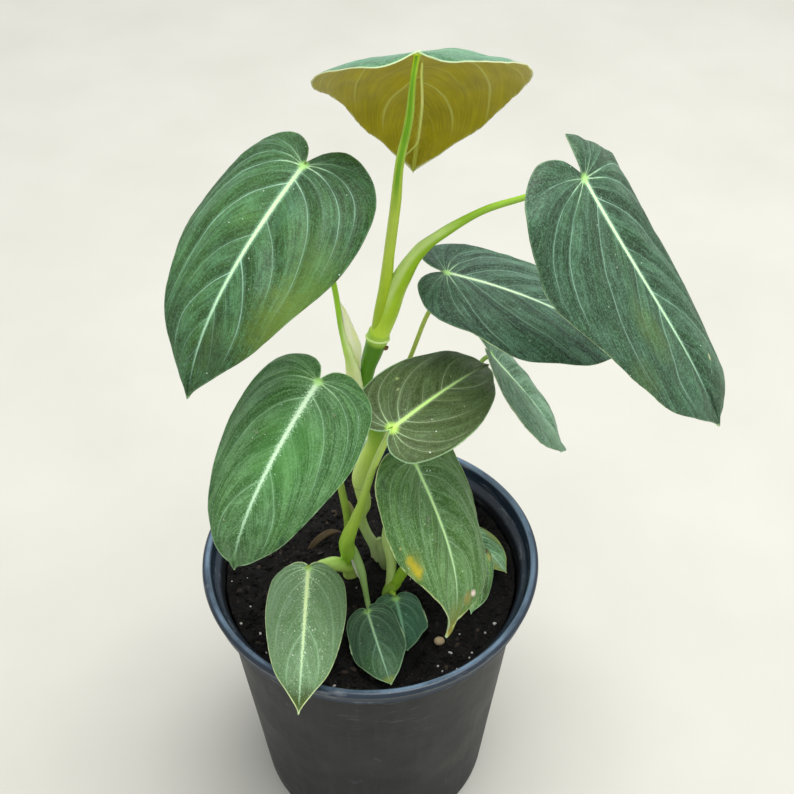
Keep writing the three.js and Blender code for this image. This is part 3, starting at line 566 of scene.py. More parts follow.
# Veins by share, how bold each is and how far along it fades out. The quilting lies between the main ones.
VEINS = [
    (0.2, 0.2, 0.8), (0.3, 0.45, 0.95), (0.4, 0.22, 0.8), (0.48, 0.15, 0.7), (0.55, 0.7, 1.0),
    (0.6, 0.8, 1.05), (0.65, 0.28, 0.75), (0.7, 0.95, 1.05), (0.73, 0.2, 0.5), (0.765, 0.5, 0.75),
    (0.795, 0.18, 0.5), (0.82, 0.85, 1.05), (0.86, 0.18, 0.6), (0.89, 0.4, 0.85), (0.93, 0.3, 0.85),
]
MAIN_VEIN = 0.44
ROW_STEPS = [0, 0.035, 0.08, 0.15, 0.27, 0.42, 0.58, 0.73, 0.85, 0.92, 0.965]  # mesh rows from vein to vein
COLUMNS = np.concatenate([[0, 0.012, 0.028, 0.048, 0.072, 0.1], np.linspace(0.14, 0.94, 21), [0.965, 0.985, 1]])


def held(value):
    """Held between 0 and 1."""
    return np.clip(value, 0, 1)


def bell(distance, width):
    """1 at no distance, falling away smoothly over the width."""
    return np.exp(-((distance / width) ** 2))


def catmull(points, share):
    """Points of a uniform Catmull-Rom curve at the shares given, 0 to 1."""
    points = np.array(points, float)
    at = np.clip(np.atleast_1d(share) * (len(points) - 1), 0, len(points) - 1)
    i = np.minimum(at.astype(int), len(points) - 2)
    t = (at - i)[:, None]
    before, start, stop, after = (points[np.clip(i + k, 0, len(points) - 1)] for k in (-1, 0, 1, 2))
    lead, trail = (stop - before) / 2, (after - start) / 2
    cube, square = 2 * start - 2 * stop + lead + trail, 3 * stop - 3 * start - 2 * lead - trail
    return cube * t**3 + square * t**2 + lead * t + start


def margin_of(leaf, side, share):
    """The outline from the notch round to the tip, in fractions of the length and of the half width."""
    lobe, widest, full, taper = leaf["lobe"], leaf["widest"][side], leaf["fullness"][side], leaf["taper"][side]
    return catmull([
        (-0.02, 0), (-0.7 * lobe, 0.12), (-lobe, 0.38), (-0.62 * lobe, 0.74), (0.06, 0.94), (widest, 1),
        (widest + 0.24, 0.93 * full), (0.73, 0.66 * full), (0.87, 0.34 * full - 0.1 * taper),
        (0.95, 0.12 * full - 0.07 * taper), (1, 0),
    ], share)


def field_at(share):
    """Start and control point of the vein at each share, eased between the listed ones."""
    i = np.clip(np.searchsorted(VEIN_FIELD[:, 0], share, side="right") - 1, 0, len(VEIN_FIELD) - 2)
    low, high = VEIN_FIELD[i], VEIN_FIELD[i + 1]
    width = VEIN_FIELD[1:, 0] - VEIN_FIELD[:-1, 0]
    slope = np.diff(VEIN_FIELD[:, 1:], axis=0) / width[:, None]
    product = slope[1:] * slope[:-1]
    inner = np.where(product > 0, 2 * product / (slope[1:] + slope[:-1] + 1e-12), 0)
    tangents = np.concatenate([slope[:1], inner, slope[-1:]])
    h = width[i][:, None]
    t = ((share - low[:, 0])[:, None]) / h
    return (
        low[:, 1:] * (2 * t**3 - 3 * t**2 + 1) + tangents[i] * h * (t**3 - 2 * t**2 + t)
        + high[:, 1:] * (3 * t**2 - 2 * t**3) + tangents[i + 1] * h * (t**3 - t**2)
    )


def flat_points(leaf, side, share, reach):
    """Flat blade points in fractions: share picks the vein, reach 0 to 1 runs along it to the margin."""
    end = margin_of(leaf, side, share)
    end[:, 1] = np.maximum(end[:, 1], 0)
    usual = margin_of(VEIN_OUTLINE, 0, share)
    field = field_at(share)
    start = np.stack([field[:, 0], np.zeros(len(share))], 1)
    middle = (start + usual) / 2
    bow = middle + leaf["bow"][side] * (field[:, 1:] - middle)
    r = np.asarray(reach)[:, None]
    return start * (1 - r) ** 2 + 2 * bow * r * (1 - r) + usual * r**2 + (end - usual) * r**2


def bent_points(leaf, flat, side, lift):
    """Bends the flat half blade to its drooping midrib and arched half. flat and lift are mm."""
    half = leaf["width"] / 2
    along, reach = flat[:, 0] / leaf["length"], flat[:, 1] / half
    shared = sum(leaf["lobe_droop"]) / 2
    lobe_droop = shared + (leaf["lobe_droop"][side] - shared) * np.minimum(1, 4 * reach)

    def turn_at(s):
        bent = np.where(s >= 0, leaf["droop"] * s + leaf["curl"] * s**3, lobe_droop * s / leaf["lobe"])
        return np.radians(bent)

    x, z = np.zeros(len(flat)), np.zeros(len(flat))
    for i in range(BEND_STEPS):
        turn = turn_at(along * (i + 0.5) / BEND_STEPS)
        x += flat[:, 0] * np.cos(turn) / BEND_STEPS
        z -= flat[:, 0] * np.sin(turn) / BEND_STEPS
    pinched = leaf["pinch"] * held(0.3 - 0.7 * along / leaf["lobe"]) if side == 0 else 0
    arch, fold = np.radians(leaf["arch"][side] + pinched), math.radians(leaf["fold"][side])
    y = half * (np.sin(fold) - np.sin(fold - arch * reach)) / arch
    rise = half * (np.cos(fold - arch * reach) - np.cos(fold)) / arch + lift
    turn = turn_at(along)
    return np.stack([x + rise * np.sin(turn), y if side == 0 else -y, z + rise * np.cos(turn)], 1)


def axes_of(leaf):
    """The leaf's own axes as the columns of a matrix, and its junction."""
    heading, pitch, roll = (math.radians(leaf[k]) for k in ("heading", "pitch", "roll"))
    turn = Matrix.Rotation(heading, 3, "Z") @ Matrix.Rotation(pitch, 3, "Y") @ Matrix.Rotation(roll, 3, "X")
    return np.array(turn), np.array(leaf["at"], float)


def blade(name, leaf, top_finish, under_finish):
    """One blade: a grid whose rows follow the side veins, bent to shape, then given its thickness. It
    keeps for the finish, in mm: blade_plan (x, y), vein_lines (distance to the nearest vein, its
    boldness, distance to the margin) and vein_flow (round, along and away from the main vein)."""
    stops = [0] + [vein[0] for vein in VEINS] + [1]
    shares = np.array([a + (b - a) * step for a, b in zip(stops, stops[1:]) for step in ROW_STEPS] + [1.0])
    turn, at = axes_of(leaf)
    scale = np.array([leaf["length"], leaf["width"] / 2])
    rows, columns = len(shares), len(COLUMNS)
    habit = random.Random(name)
    small = min(1, leaf["length"] / 80)
    values = {}
    for side, sign in ((0, 1), (1, -1)):
        slip = -sign * VEIN_SLIP * (1 if leaf["length"] > 60 else 0.5)

        def slipped(share):
            return share + slip * bell(share - SLIP_AT, SLIP_WIDE)

        share, reach = (grid.ravel() for grid in np.meshgrid(shares, COLUMNS, indexing="ij"))
        flat = flat_points(leaf, side, slipped(share), reach) * scale
        rim = margin_of(leaf, side, np.linspace(0, 1, 161)) * scale
        edge_far = np.min(np.linalg.norm(flat[:, None] - rim[None], axis=2), axis=1)
        vein_far, vein_bold = np.full(len(flat), 99.0), np.zeros(len(flat))
        main_far, main_side = np.full(len(flat), 99.0), np.ones(len(flat))
        for where, bold, fade in VEINS:
            line = flat_points(leaf, side, slipped(np.full(80, where)), np.linspace(0, 1, 80)) * scale
            far = np.min(np.linalg.norm(flat[:, None] - line[None], axis=2), axis=1)
            far = np.where(np.abs(share - where) < 1e-9, 0, far)
            nearer = far < vein_far
            vein_far = np.where(nearer, far, vein_far)
            shown = bold * habit.uniform(0.75, 1.15) * held((fade * habit.uniform(0.85, 1.1) - reach) / 0.35)
            vein_bold = np.where(nearer, shown, vein_bold)
            if bold >= MAIN_VEIN:
                nearer = far < main_far
                main_far = np.where(nearer, far, main_far)
                main_side = np.where(nearer, np.sign(share - where), main_side)
        to_tip = held(1 - flat[:, 0] / leaf["length"])
        lift = QUILT_HIGH * (1 - bell(main_far, QUILT_WIDE)) + CREASE_DEEP * (1 - bell(vein_far, CREASE_WIDE))
        lift *= small * held(reach * 4) * held((1 - reach) * 4)
        lift -= GROOVE_DEEP * vein_bold * bell(vein_far, GROOVE_WIDE) * held(reach * 12) * held((1 - reach) * 8)
        ends = np.minimum(1, np.minimum(6 * share, 6 * (1 - share)))
        lift += ends * leaf["wave"] * np.sin(2 * math.pi * (2.5 * share + 0.1 * leaf["length"])) * reach**3
        lift += RIB_CREST * bell(flat[:, 1], RIB_CREST_WIDE) * to_tip
        (slow, quick), (long, short) = BUCKLES_HIGH, BUCKLES_WIDE
        lift += small * held(flat[:, 1] / 8) * np.array([
            slow * noise.noise((a / long, b / long, 5 * side + 0.13 * leaf["length"]))
            + quick * noise.noise((a / short, b / short, 3 * side + 7)) for a, b in flat
        ])
        spots = bent_points(leaf, flat, side, lift) @ turn.T + at
        thick = BLADE_THICK + RIB_DEPTH * to_tip * held(1 - flat[:, 1] / (RIB_WIDE / 2))
        thick = thick + CORD_DEEP * vein_bold * bell(vein_far, CORD_WIDE) * held((1 - reach) * 3)
        thick *= held(0.35 + edge_far / 2.5)
        flow = np.stack([share * leaf["length"] * 1.6, reach * leaf["width"] * 0.7, main_far * main_side], 1)
        kept = (spots, flat * (1, sign), vein_far, vein_bold, edge_far, thick, flow)
        values[side] = [value.reshape(rows, columns, -1) for value in kept]
    shape = bmesh.new()
    bmesh.ops.create_grid(shape, x_segments=rows - 1, y_segments=2 * (columns - 1), size=1)
    plan, lines, along = (
        shape.verts.layers.float_vector.new(kind) for kind in ("blade_plan", "vein_lines", "vein_flow")
    )
    weights = shape.verts.layers.deform.verify()
    thickest = BLADE_THICK + RIB_DEPTH + CORD_DEEP
    for corner in shape.verts:
        i = round((corner.co.x + 1) / 2 * (rows - 1))
        j = round((corner.co.y + 1) * (columns - 1)) - (columns - 1)
        half = values[0 if j >= 0 else 1]
        spots, flat, vein_far, vein_bold, edge_far, thick, flow = (value[i, abs(j)] for value in half)
        corner.co = Vector(spots) * MM
        corner[plan] = (flat[0], flat[1], 0)
        corner[lines] = (vein_far[0], vein_bold[0], edge_far[0])
        corner[along] = flow
        corner[weights][0] = min(1.0, thick[0] / thickest)
    bmesh.ops.remove_doubles(shape, verts=shape.verts, dist=2e-6)
    bmesh.ops.dissolve_degenerate(shape, edges=shape.edges, dist=1e-7)
    up = Vector(turn[:, 2])
    if sum((face.normal.dot(up) * face.calc_area() for face in shape.faces), 0.0) < 0:
        bmesh.ops.reverse_faces(shape, faces=shape.faces)
    made = piece_from(f"leaf_{name}", shape, top_finish, under_finish, smooth=0)
    made.vertex_groups.new(name="thickness")
    body = made.modifiers.new("thickness", "SOLIDIFY")
    body.thickness = thickest * MM
    body.offset = -1
    body.vertex_group = "thickness"
    body.thickness_vertex_group = 0.0
    body.material_offset = 1
    body.material_offset_rim = 1
    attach(made, "root")
    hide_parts(f"blade_{name}")
    return made


def blade_maps(tree):
    """What the blade keeps for its finishes, and the distances from the midrib and from the junction."""
    plan, lines, flow = (
        add_node(tree, "Attribute", attribute_name=kind).outputs["Vector"]
        for kind in ("blade_plan", "vein_lines", "vein_flow")
    )
    x_flat, y_flat, _ = add_node(tree, "SeparateXYZ", plan).outputs
    side_far = add_node(tree, "Math", y_flat, operation="ABSOLUTE")
    root_far = add_node(tree, "VectorMath", plan, operation="LENGTH")
    return plan, flow, x_flat, side_far, root_far, *add_node(tree, "SeparateXYZ", lines).outputs


def velvet_face(
    name, length, deep, lit, sheen, vein="93bda2", rib="bfe0a8", knot="a6d878", margin="a9cf9c", moss="46701f",
    margin_bold=0.25, rib_wide=0.8, vein_wide=0.2, vein_show=0.7, bloom=0.05, dust=0.3, specks=0, comb=0.3,
    banding=1, knot_far=2.9, marks=(),
):
    """The upper face: deep green under a velvet of tiny raised cells, with a painted bluish sheen on the tip
    side of each main vein and painted shade on its base side, dusted with pale specks, with mint side veins and
    a pale midrib, lime at its root."""
    made, tree = new_finish(name)
    plan, flow, x_flat, side_far, root_far, vein_far, vein_bold, edge_far = blade_maps(tree)
    _, out_along, main_far = add_node(tree, "SeparateXYZ", flow).outputs
    # Patterns, by how many there are to a millimetre: grain and clouds, and fibres along the side veins.
    fine, wobble, patchy, mossy, broad, bands, strips, threads = (
        add_node(tree, "TexNoise", add_node(tree, "Mapping", {"Vector": on, "Scale": often}), 1, detail, rough)
        for on, often, detail, rough in (
            (plan, (1.3, 1.3, 0), 3, 0.65), (plan, (0.22, 0.22, 0), 3, 0.6), (plan, (0.12, 0.12, 0), 3, 0.6),
            (plan, (0.05, 0.05, 0), 3, 0.6), (plan, (0.03, 0.03, 0), 2, 0.6), (flow, (0.16, 0.022, 0), 3, 0.6),
            (flow, (1, 0.07, 0), 3, 0.6), (flow, (2.8, 0.16, 0), 3, 0.7),
        )
    )
    # Velvet cells half a millimetre across, each a little lighter or darker than its neighbour.
    cells = add_node(tree, "TexVoronoi", plan, 2.1)
    grain = add_node(tree, "SeparateColor", cells.outputs["Color"]).outputs["Red"]
    half, combed = 0.5 * banding, 0.1 + 0.2 * banding
    # The lit bands along the veins are partly painted light and shade of the quilting and partly the leaf's own
    # tone. The sheen on the tip side of each main vein is a painted sheen, and the deep green on its base side
    # is painted shade.
    green = painted(
        tree, deep,
        (lit, (add_node(tree, "Mix", 0.25, bands, broad), 0.42, 0.6, 0.5 - half, 0.5 + half)),
        (moss, (mossy, 0.42, 0.7, 0, 0.4)),
        (sheen, (main_far, 0.4, 2), (main_far, 2.5, 8, 1, 0),
         (patchy, 0.35, 0.65, 0.1 * banding, 0.6 * banding)),
        (deep, (main_far, -0.2, -1.2, 0, half), (main_far, -7, -2)),
        (sheen, (strips, 0.5, 0.62, 0, combed)), (deep, (strips, 0.5, 0.36, 0, 1.6 * combed)),
        (sheen, (threads, 0.5, 0.62, 0, 0.16)), (deep, (threads, 0.5, 0.36, 0, 0.256)),
        (sheen, (grain, 0.6, 1, 0, 0.34)), (deep, (grain, 0.4, 0, 0, 0.42)),
    )

    # Side veins: bright where they leave the midrib, broken and fading further out.
    near_root = add_node(tree, "MapRange", root_far, 2, 13, 1, 0)
    young = add_node(tree, "MapRange", out_along, 1, 9, 0.7, 0)
    young = add_node(tree, "Math", near_root, young, operation="MAXIMUM")
    wide = add_node(tree, "Math", vein_bold, 0.6 * vein_wide, 0.4 * vein_wide, operation="MULTIPLY_ADD")
    widened = add_node(tree, "Math", young, 0.5, 1, operation="MULTIPLY_ADD")
    wide = add_node(tree, "Math", wide, widened, operation="MULTIPLY")
    core, edge = (add_node(tree, "Math", wide, share, operation="MULTIPLY") for share in (0.35, 1.8))
    shown = add_node(tree, "MapRange", vein_bold, 0.02, 0.8, 0, vein_show)
    broken = add_node(tree, "MapRange", fine, 0.3, 0.6, 0.55, 1)
    shown = add_node(tree, "Math", shown, broken, operation="MULTIPLY")
    brightened = add_node(tree, "Math", young, 0.8, 1, operation="MULTIPLY_ADD")
    shown = add_node(tree, "Math", shown, brightened, operation="MULTIPLY", use_clamp=True)
    green = painted(
        tree, green,
        (vein, (vein_far, 0.3, 1.5, 0.12, 0), vein_bold),
        (painted(tree, vein, ("c8efb4", near_root)), (vein_far, core, edge, 1, 0), shown),
    )

    for x, y, reach_x, reach_y, shade, strength in marks:
        away = {"Vector": plan, "Location": (x, y, 0), "Scale": (reach_x, reach_y, 1)}
        away = add_node(tree, "Mapping", away, vector_type="TEXTURE")
        away = add_node(tree, "VectorMath", away, operation="LENGTH")
        away = add_node(tree, "Math", away, wobble, operation="ADD")
        patch = add_node(tree, "MapRange", away, 1.9, 0.7, 0, strength, interpolation_type="SMOOTHSTEP")
        green = painted(tree, green, (shade, patch, (fine, 0.3, 0.6, 0.65, 1)))

    # Midrib: broad and nearly white at its root, thin and mint towards the tip, with granular edges.
    along = add_node(tree, "Math", x_flat, length, operation="DIVIDE")
    rib_half = add_node(tree, "Math", 1, along, operation="SUBTRACT")
    rib_half = add_node(tree, "Math", rib_half, 0, operation="MAXIMUM")
    rib_half = add_node(tree, "Math", rib_half, 0.9, operation="POWER")
    rib_half = add_node(tree, "Math", rib_half, rib_wide, 0.1, operation="MULTIPLY_ADD")
    ribbed = add_node(tree, "Math", side_far, rib_half, operation="DIVIDE")
    toothed = add_node(tree, "MapRange", fine, 0.3, 0.7, 1 - comb, 1 + comb)
    ribbed = add_node(tree, "Math", ribbed, toothed, operation="MULTIPLY")
    rib_glow = add_node(tree, "MapRange", ribbed, 0.9, 3, 0.4, 0, interpolation_type="SMOOTHSTEP")
    knot_glow = (root_far, 0.25 * knot_far, knot_far, 0.8, 0)
    knot_glow = add_node(tree, "MapRange", *knot_glow, interpolation_type="SMOOTHSTEP")
    forward = ((x_flat, -1, 0.5), (along, 0.6, 0.97, 1, 0.4))
    green = painted(
        tree, green,
        (vein, rib_glow, *forward),
        (painted(tree, rib, (vein, (along, 0.3, 0.95))), (ribbed, 0.55, 1.4, 1, 0), *forward),
        (knot, knot_glow),
    )

    # Dust and mineral specks: their share of the cells, cells to a millimetre, inner and outer edge in
    # cells, how the last ones fade in, strength, colour and where they lie.
    for many, often, inner, outer, fading, strength, shade, *where in (
        (dust, 0.28, 0.035, 0.09, 0.7, 0.75, "d3e2cf"),
        (specks, 0.75, 0.14, 0.3, 0.6, 0.9, "e6f2dc", (side_far, 4, 15, 1, 0.1), (along, 0.95, 0.6)),
    ):
        if many:
            flecks = add_node(tree, "TexVoronoi", plan, often)
            chosen = add_node(tree, "SeparateColor", flecks.outputs["Color"]).outputs["Green"]
            chosen = (chosen, 1 - many, 1 - fading * many, 0, strength)
            spot = (flecks.outputs["Distance"], inner, outer, 1, 0)
            green = painted(tree, green, (shade, spot, chosen, *where))
    velvet = {"Strength": 0.5, "Distance": 0.15 * MM, "Height": cells.outputs["Distance"]}
    ridged = {"Strength": 0.4, "Distance": 0.3 * MM, "Height": strips, "Normal": add_node(tree, "Bump", velvet)}
    add_node(tree, "OutputMaterial", add_node(tree, "BsdfPrincipled", {
        "Base Color": painted(tree, green, (margin, (edge_far, 0.2, 0.65, margin_bold, 0))),
        "Roughness": 0.5, "IOR": 1.4, "Specular IOR Level": 0.35,
        "Sheen Weight": bloom, "Sheen Roughness": 0.4, "Sheen Tint": "b6d6c6",
        "Normal": add_node(tree, "Bump", ridged),
    }))
    return made


def under_face(
    name, deep, lit, vein="b4cf8a", rib="c8de98", margin="c5dcae", knot="b8d060", vein_wide=0.35,
    rib_half=(0.9, 0.3), length=90,
):
    """The underside: smooth and dull, paler than the top, with the veins standing out pale."""
    made, tree = new_finish(name)
    plan, flow, x_flat, side_far, root_far, vein_far, vein_bold, edge_far = blade_maps(tree)
    clouds = add_node(tree, "TexNoise", plan, 0.06, 5)
    drawn = add_node(tree, "Mapping", {"Vector": flow, "Scale": (0.8, 0.05, 1)})
    strips = add_node(tree, "TexNoise", drawn, 1, 3)
    core = add_node(tree, "Math", vein_bold, vein_wide, operation="MULTIPLY")
    edge = add_node(tree, "Math", core, 2.4, operation="MULTIPLY")
    half = add_node(tree, "MapRange", x_flat, 0, length, *rib_half)
    olive = painted(
        tree, deep,
        (lit, (add_node(tree, "Math", clouds, strips, operation="ADD"), 0.75, 1.25)),
        (vein, (vein_far, core, edge, 0.8, 0), (vein_bold, 0.05, 0.7)),
        (rib, (add_node(tree, "Math", side_far, half, operation="DIVIDE"), 0.7, 1.2, 1, 0)),
        (knot, add_node(tree, "MapRange", root_far, 1.5, 5, 0.9, 0, interpolation_type="SMOOTHSTEP")),
        (margin, (edge_far, 0.2, 0.8, 0.8, 0)),
    )
    grain = add_node(tree, "Bump", {"Strength": 0.3, "Distance": 0.3 * MM, "Height": strips})
    add_node(tree, "OutputMaterial", add_node(tree, "BsdfPrincipled", {
        "Base Color": olive, "Roughness": 0.55, "IOR": 1.4, "Normal": grain,
    }))
    return made


pale_under = under_face("matt leaf underside", "7d9a58", "94b070")
# The top blade's underside is olive, painted bright gold for the light that shines through it from behind.
backlit_gold_under = under_face(
    "olive leaf underside painted backlit gold", "9a8c00", "b6a606", vein="c4c258", rib="b8b840", margin="f0f6cc", knot="d0f428",
    vein_wide=0.26, rib_half=(0.5, 0.25), length=115,
)
# Deep, lit and sheen greens, then what is not usual. marks are patches: x, y, reach along x and y,
# colour and strength.
FACES = {
    "top": ("2e5236", "4c7850", "7ea88c", dict(bloom=0.3, margin="c0d8a0", margin_bold=0.8)),
    "upper_left": ("142b07", "3a612c", "5b8c62", dict(banding=0.8, marks=[
        (60, 26, 22, 12, "5c701c", 0.7), (42, 30, 20, 10, "50701e", 0.5), (76, 6, 12, 8, "33421c", 0.5),
        (28, 22, 9, 8, "4d6a30", 0.4), (20, 6, 10, 4, "5a8c74", 0.15)])),
    "upper_right": ("0c1906", "39613e", "6a9275", dict(
        moss="2f4a1e", banding=0.55, rib="c8eab4", rib_wide=0.66, marks=[
            (60, -13, 16, 6, "647c34", 0.26), (72, -27, 10, 6, "607636", 0.22),
            (92.3, 9.2, 1.6, 0.9, "c9c890", 0.8), (30, 24, 20, 8, "24402f", 0.4)])),
    "mid_right": ("121f10", "3e6447", "739f85", dict(
        banding=0.65, moss="304a2c", vein_show=0.6, rib_wide=0.85, rib="d8f0c4")),
    "back_right": ("1d3f21", "628d68", "9cc0a7", dict(vein_show=0.3, banding=0.5)),
    "mid_left": ("1f4616", "51803d", "7eac78", dict(
        rib="cfeac4", vein="a0cca0", vein_show=0.5, rib_wide=0.88, comb=0.8, margin_bold=0.7, banding=0.8,
        marks=[
            (30, 3, 22, 12, "4a8a3c", 0.5), (66.2, 16.5, 3, 1.6, "173c1c", 0.8),
            (60.2, -19.1, 3.5, 1.3, "1b4020", 0.8)])),
    "centre": ("293517", "516734", "728e5e", dict(
        moss="4f5c2c", banding=0.35, rib="c4ec88", vein="a4b88c", knot="c4f068", knot_far=3.9, rib_wide=0.7,
        margin_bold=0.6, vein_show=0.45, marks=[
            (18.3, 15.4, 1.1, 0.7, "b0bc7c", 0.7), (14.7, 11.4, 1.0, 0.6, "aab87c", 0.6),
            (12, -12.8, 0.4, 0.3, "eef4e4", 0.9), (3.6, -17.8, 0.4, 0.4, "eef4e4", 0.9)])),
    "low_centre": ("284e11", "5f873c", "91b785", dict(
        margin_bold=0.8, margin="d2dc94", vein_show=0.4, banding=0.6, rib="c6eea0", vein="9cbc94", specks=0.05,
        marks=[
            (39, -23.2, 7, 4, "7f8a34", 0.7), (36.2, -24.4, 2.4, 1.8, "a89c1c", 0.95),
            (39.2, -23.3, 2.2, 1.6, "b0a020", 0.9), (42.4, -22.1, 3.2, 2.0, "bca820", 0.95),
            (29.4, -26.9, 0.8, 0.6, "b8b060", 0.8), (64.9, 6.1, 3.4, 2.6, "a08a40", 0.7),
            (63.6, 9.1, 1.6, 1.2, "f0d8cc", 0.95), (77, -3, 12, 9, "7a7c20", 1.0),
            (82, 0, 6, 9, "a08c1c", 1.0), (70, 0, 7, 6, "5f7a30", 0.5), (23.6, -9.7, 2.0, 1.1, "22402a", 0.7),
            (2, -23, 3.5, 1.0, "1e3a24", 0.6)])),
    "front_left": ("4c6c41", "7c9e6a", "a1bba0", dict(
        margin_bold=0.9, vein_show=0.45, dust=0.6, specks=0.3, banding=0.15, rib="e0f4b0", vein="aacfa6",
        margin="d8e8a8", rib_wide=0.9, comb=0.9, marks=[
            (68, 0, 11, 30, "2c3c04", 1.0), (71, 0, 8, 20, "465808", 1.0)])),
    "front_small": ("21392f", "3e623f", "6c906b", dict(
        margin_bold=0.6, vein_show=0.2, rib="a8cc98", rib_wide=0.42, banding=0.4,
        marks=[(38.5, 0, 2.6, 4, "8f9c3c", 0.8)])),
    "front_dark": ("2a4e35", "38634b", "5f8e76", dict(
        margin_bold=0.4, vein_show=0.12, rib="7ab088", rib_wide=0.5, banding=0.3)),
    "low_right": ("223d16", "71a24b", "b5e48f", dict(
        margin_bold=0.7, marks=[(-0.5, 6.5, 1.6, 1.5, "5a2e1c", 0.9), (2, 8, 2.5, 2, "c8c060", 0.7)])),
    "low_back": ("385d36", "71a364", "a7d09f", dict(
        margin_bold=0.6, margin="a8b058", marks=[
            (7, 8.5, 8, 2.5, "7c8638", 0.8), (22, -4, 6, 3, "8a9038", 0.8)])),
}
# Beads of clean water left on the leaves after watering: round, flattened and mostly clear, with a pale
# base colour that paints in the bright light seen in them.
dew, tree = new_finish("water droplet")
add_node(tree, "OutputMaterial", add_node(tree, "BsdfPrincipled", {
    "Base Color": "ecfcd0", "Roughness": 0.02, "IOR": 1.33, "Transmission Weight": 0.88,
}))
DROPLETS = {  # x, y, radius
    "mid_left": [(29.4, -11.2, 1.1), (8.8, 12.7, 0.9), (66.5, -8.1, 0.7)],
    "low_centre": [(23.6, -9.7, 1.4), (25.6, -11.4, 0.8)],
}
for name, leaf in LEAVES.items():
    *greens, looks = FACES[name]
    if leaf["length"] < 60:
        looks = dict(rib_wide=0.55, vein_wide=0.16) | looks
    top_finish = velvet_face(f"velvet leaf face {name.replace('_', ' ')}", leaf["length"], *greens, **looks)
    grown = blade(name, leaf, top_finish, backlit_gold_under if name == "top" else pale_under)
    turn, at = axes_of(leaf)
    for i, (x, y, size) in enumerate(DROPLETS.get(name, ())):
        flat = np.array([(x, abs(y))], float)
        guess = (bent_points(leaf, flat, 0 if y > 0 else 1, np.array([1.0])) @ turn.T + at)[0]
        _, spot, up, _ = grown.closest_point_on_mesh(Vector(guess) * MM)
        pose = Matrix.Translation(spot) @ up.to_track_quat("Z", "Y").to_matrix().to_4x4()
        shape = bmesh.new()
        bmesh.ops.create_icosphere(
            shape, subdivisions=3, radius=size * MM, matrix=pose @ Matrix.Diagonal((1, 0.85, 0.5, 1))
        )
        drop = piece_from(f"droplet_{name}_{i}", shape, dew)
        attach(drop, "root")

# The midrib of the top blade stands proud on its underside, pale and thin, and bends off before the tip.
# Its near-white yellow is a pale rib brightened with painted light shining through the blade.
fold_skin = plant_skin("raised pale midrib", [(0, "f0fc70"), (0.5, "f4f890"), (1, "dce470")], roughness=0.5)
RAISED_ROUTE = [
    (22.2, 26.3, 413.2, 0.35), (22.3, 38.1, 402.2, 0.5), (23.1, 53.7, 379.7, 0.6), (22.4, 59.1, 365.9, 0.55),
    (21.4, 61.1, 358.1, 0.5), (18.9, 62.8, 353.6, 0.45), (16.6, 62.2, 351.6, 0.35),
]
tube("raised_midrib_top", RAISED_ROUTE, fold_skin, sides=12, step=1.0)

# ---------------------------------------------------------------- leaf stalks
# A round fleshy stalk carries each blade. It clasps its shoot with a broad foot, thins upwards and
# ends in the back of the midrib. Each is its radius at the blade and its route (x, y, z, radius).
STALKS = {
    "upper_right": (1.2, [
        (4.6, 10, 294.6, 4.3), (9, 9.5, 308, 4.3), (14, 8, 326, 3.9), (21.5, 4, 344, 2.8),
        (28.8, 1, 353.7, 2.1), (45.3, -2, 367.6, 1.4), (60, -5, 375.5, 1.2)]),
    "top": (1.1, [
        (4.4, 9.6, 297, 2.6), (6.2, 8.9, 309, 2.9), (8.4, 8, 325, 2.6), (10, 7, 342, 2.2),
        (12.5, 5, 366, 2.1), (14, 3, 385, 1.7), (17.3, 0.5, 405, 1.5)]),
    "upper_left": (1.1, [
        (2, 9.5, 246, 3.2), (-3, 7.5, 256, 3.6), (-5.2, 6, 269, 3.6), (-5.8, 5.3, 279, 3.2),
        (-7.4, 4.8, 289.5, 2.1), (-9.7, 3.8, 302, 1.3), (-11.8, 2, 326, 1.2), (-16.5, 1, 360, 1.1)]),
    "mid_right": (1, [(5.5, 10.5, 240, 1.8), (9.6, 12, 254, 1.3), (19, 16, 279, 1), (26, 20, 299, 1)]),
    "back_right": (1.1, [
        (9.6, -15.6, 156, 2.4), (10.3, -11, 170, 2.4), (8, -5, 184, 2.3), (16, 8, 200, 1.9),
        (32, 26, 218, 1.5), (46, 38, 238, 1.2)]),
    "centre": (1.4, [
        (-10, -7.5, 169, 3.6), (-10.9, -11.6, 184, 3.7), (-9.4, -15.6, 196, 3.3), (-6, -20.6, 212, 2.5),
        (-2.5, -24, 228, 1.9), (3.4, -33, 261, 1.5)]),
    "mid_left": (1.1, [
        (-10.5, -10, 180, 1.9), (-10, -9, 198, 1.9), (-12, -12, 223, 1.7), (-15, -19, 260, 1.4),
        (-18, -25.5, 286, 1.2)]),
    "low_centre": (1.5, [
        (12, -15, 159.5, 2.9), (15.5, -14.5, 166.5, 2.7), (18.8, -14.5, 174, 2.3), (19.5, -13, 192, 2),
        (14, -12, 225, 1.7)]),
    "front_left": (1.1, [
        (-11, -8, 163, 3.2), (-17, -13, 171.5, 3.5), (-22, -18, 177, 2.6), (-25.5, -23, 181, 1.6)]),
    "front_small": (1, [
        (-9.6, -9.4, 184, 1.3), (-7.4, -9.4, 175, 2.1), (-4.6, -13.5, 168.5, 2.1), (-2, -23, 162, 1.4)]),
    "front_dark": (1, [(9.5, -16.5, 156.5, 1.5), (11.2, -20, 157.2, 1.3)]),
    "low_right": (0.9, [(18.6, -14.3, 175, 1.5), (30, -9, 170, 1.2), (42, -3, 161, 1)]),
    "low_back": (0.9, [(19, -13.8, 180, 1.5), (31, 0, 170, 1.2), (42, 10, 156, 1)]),
}
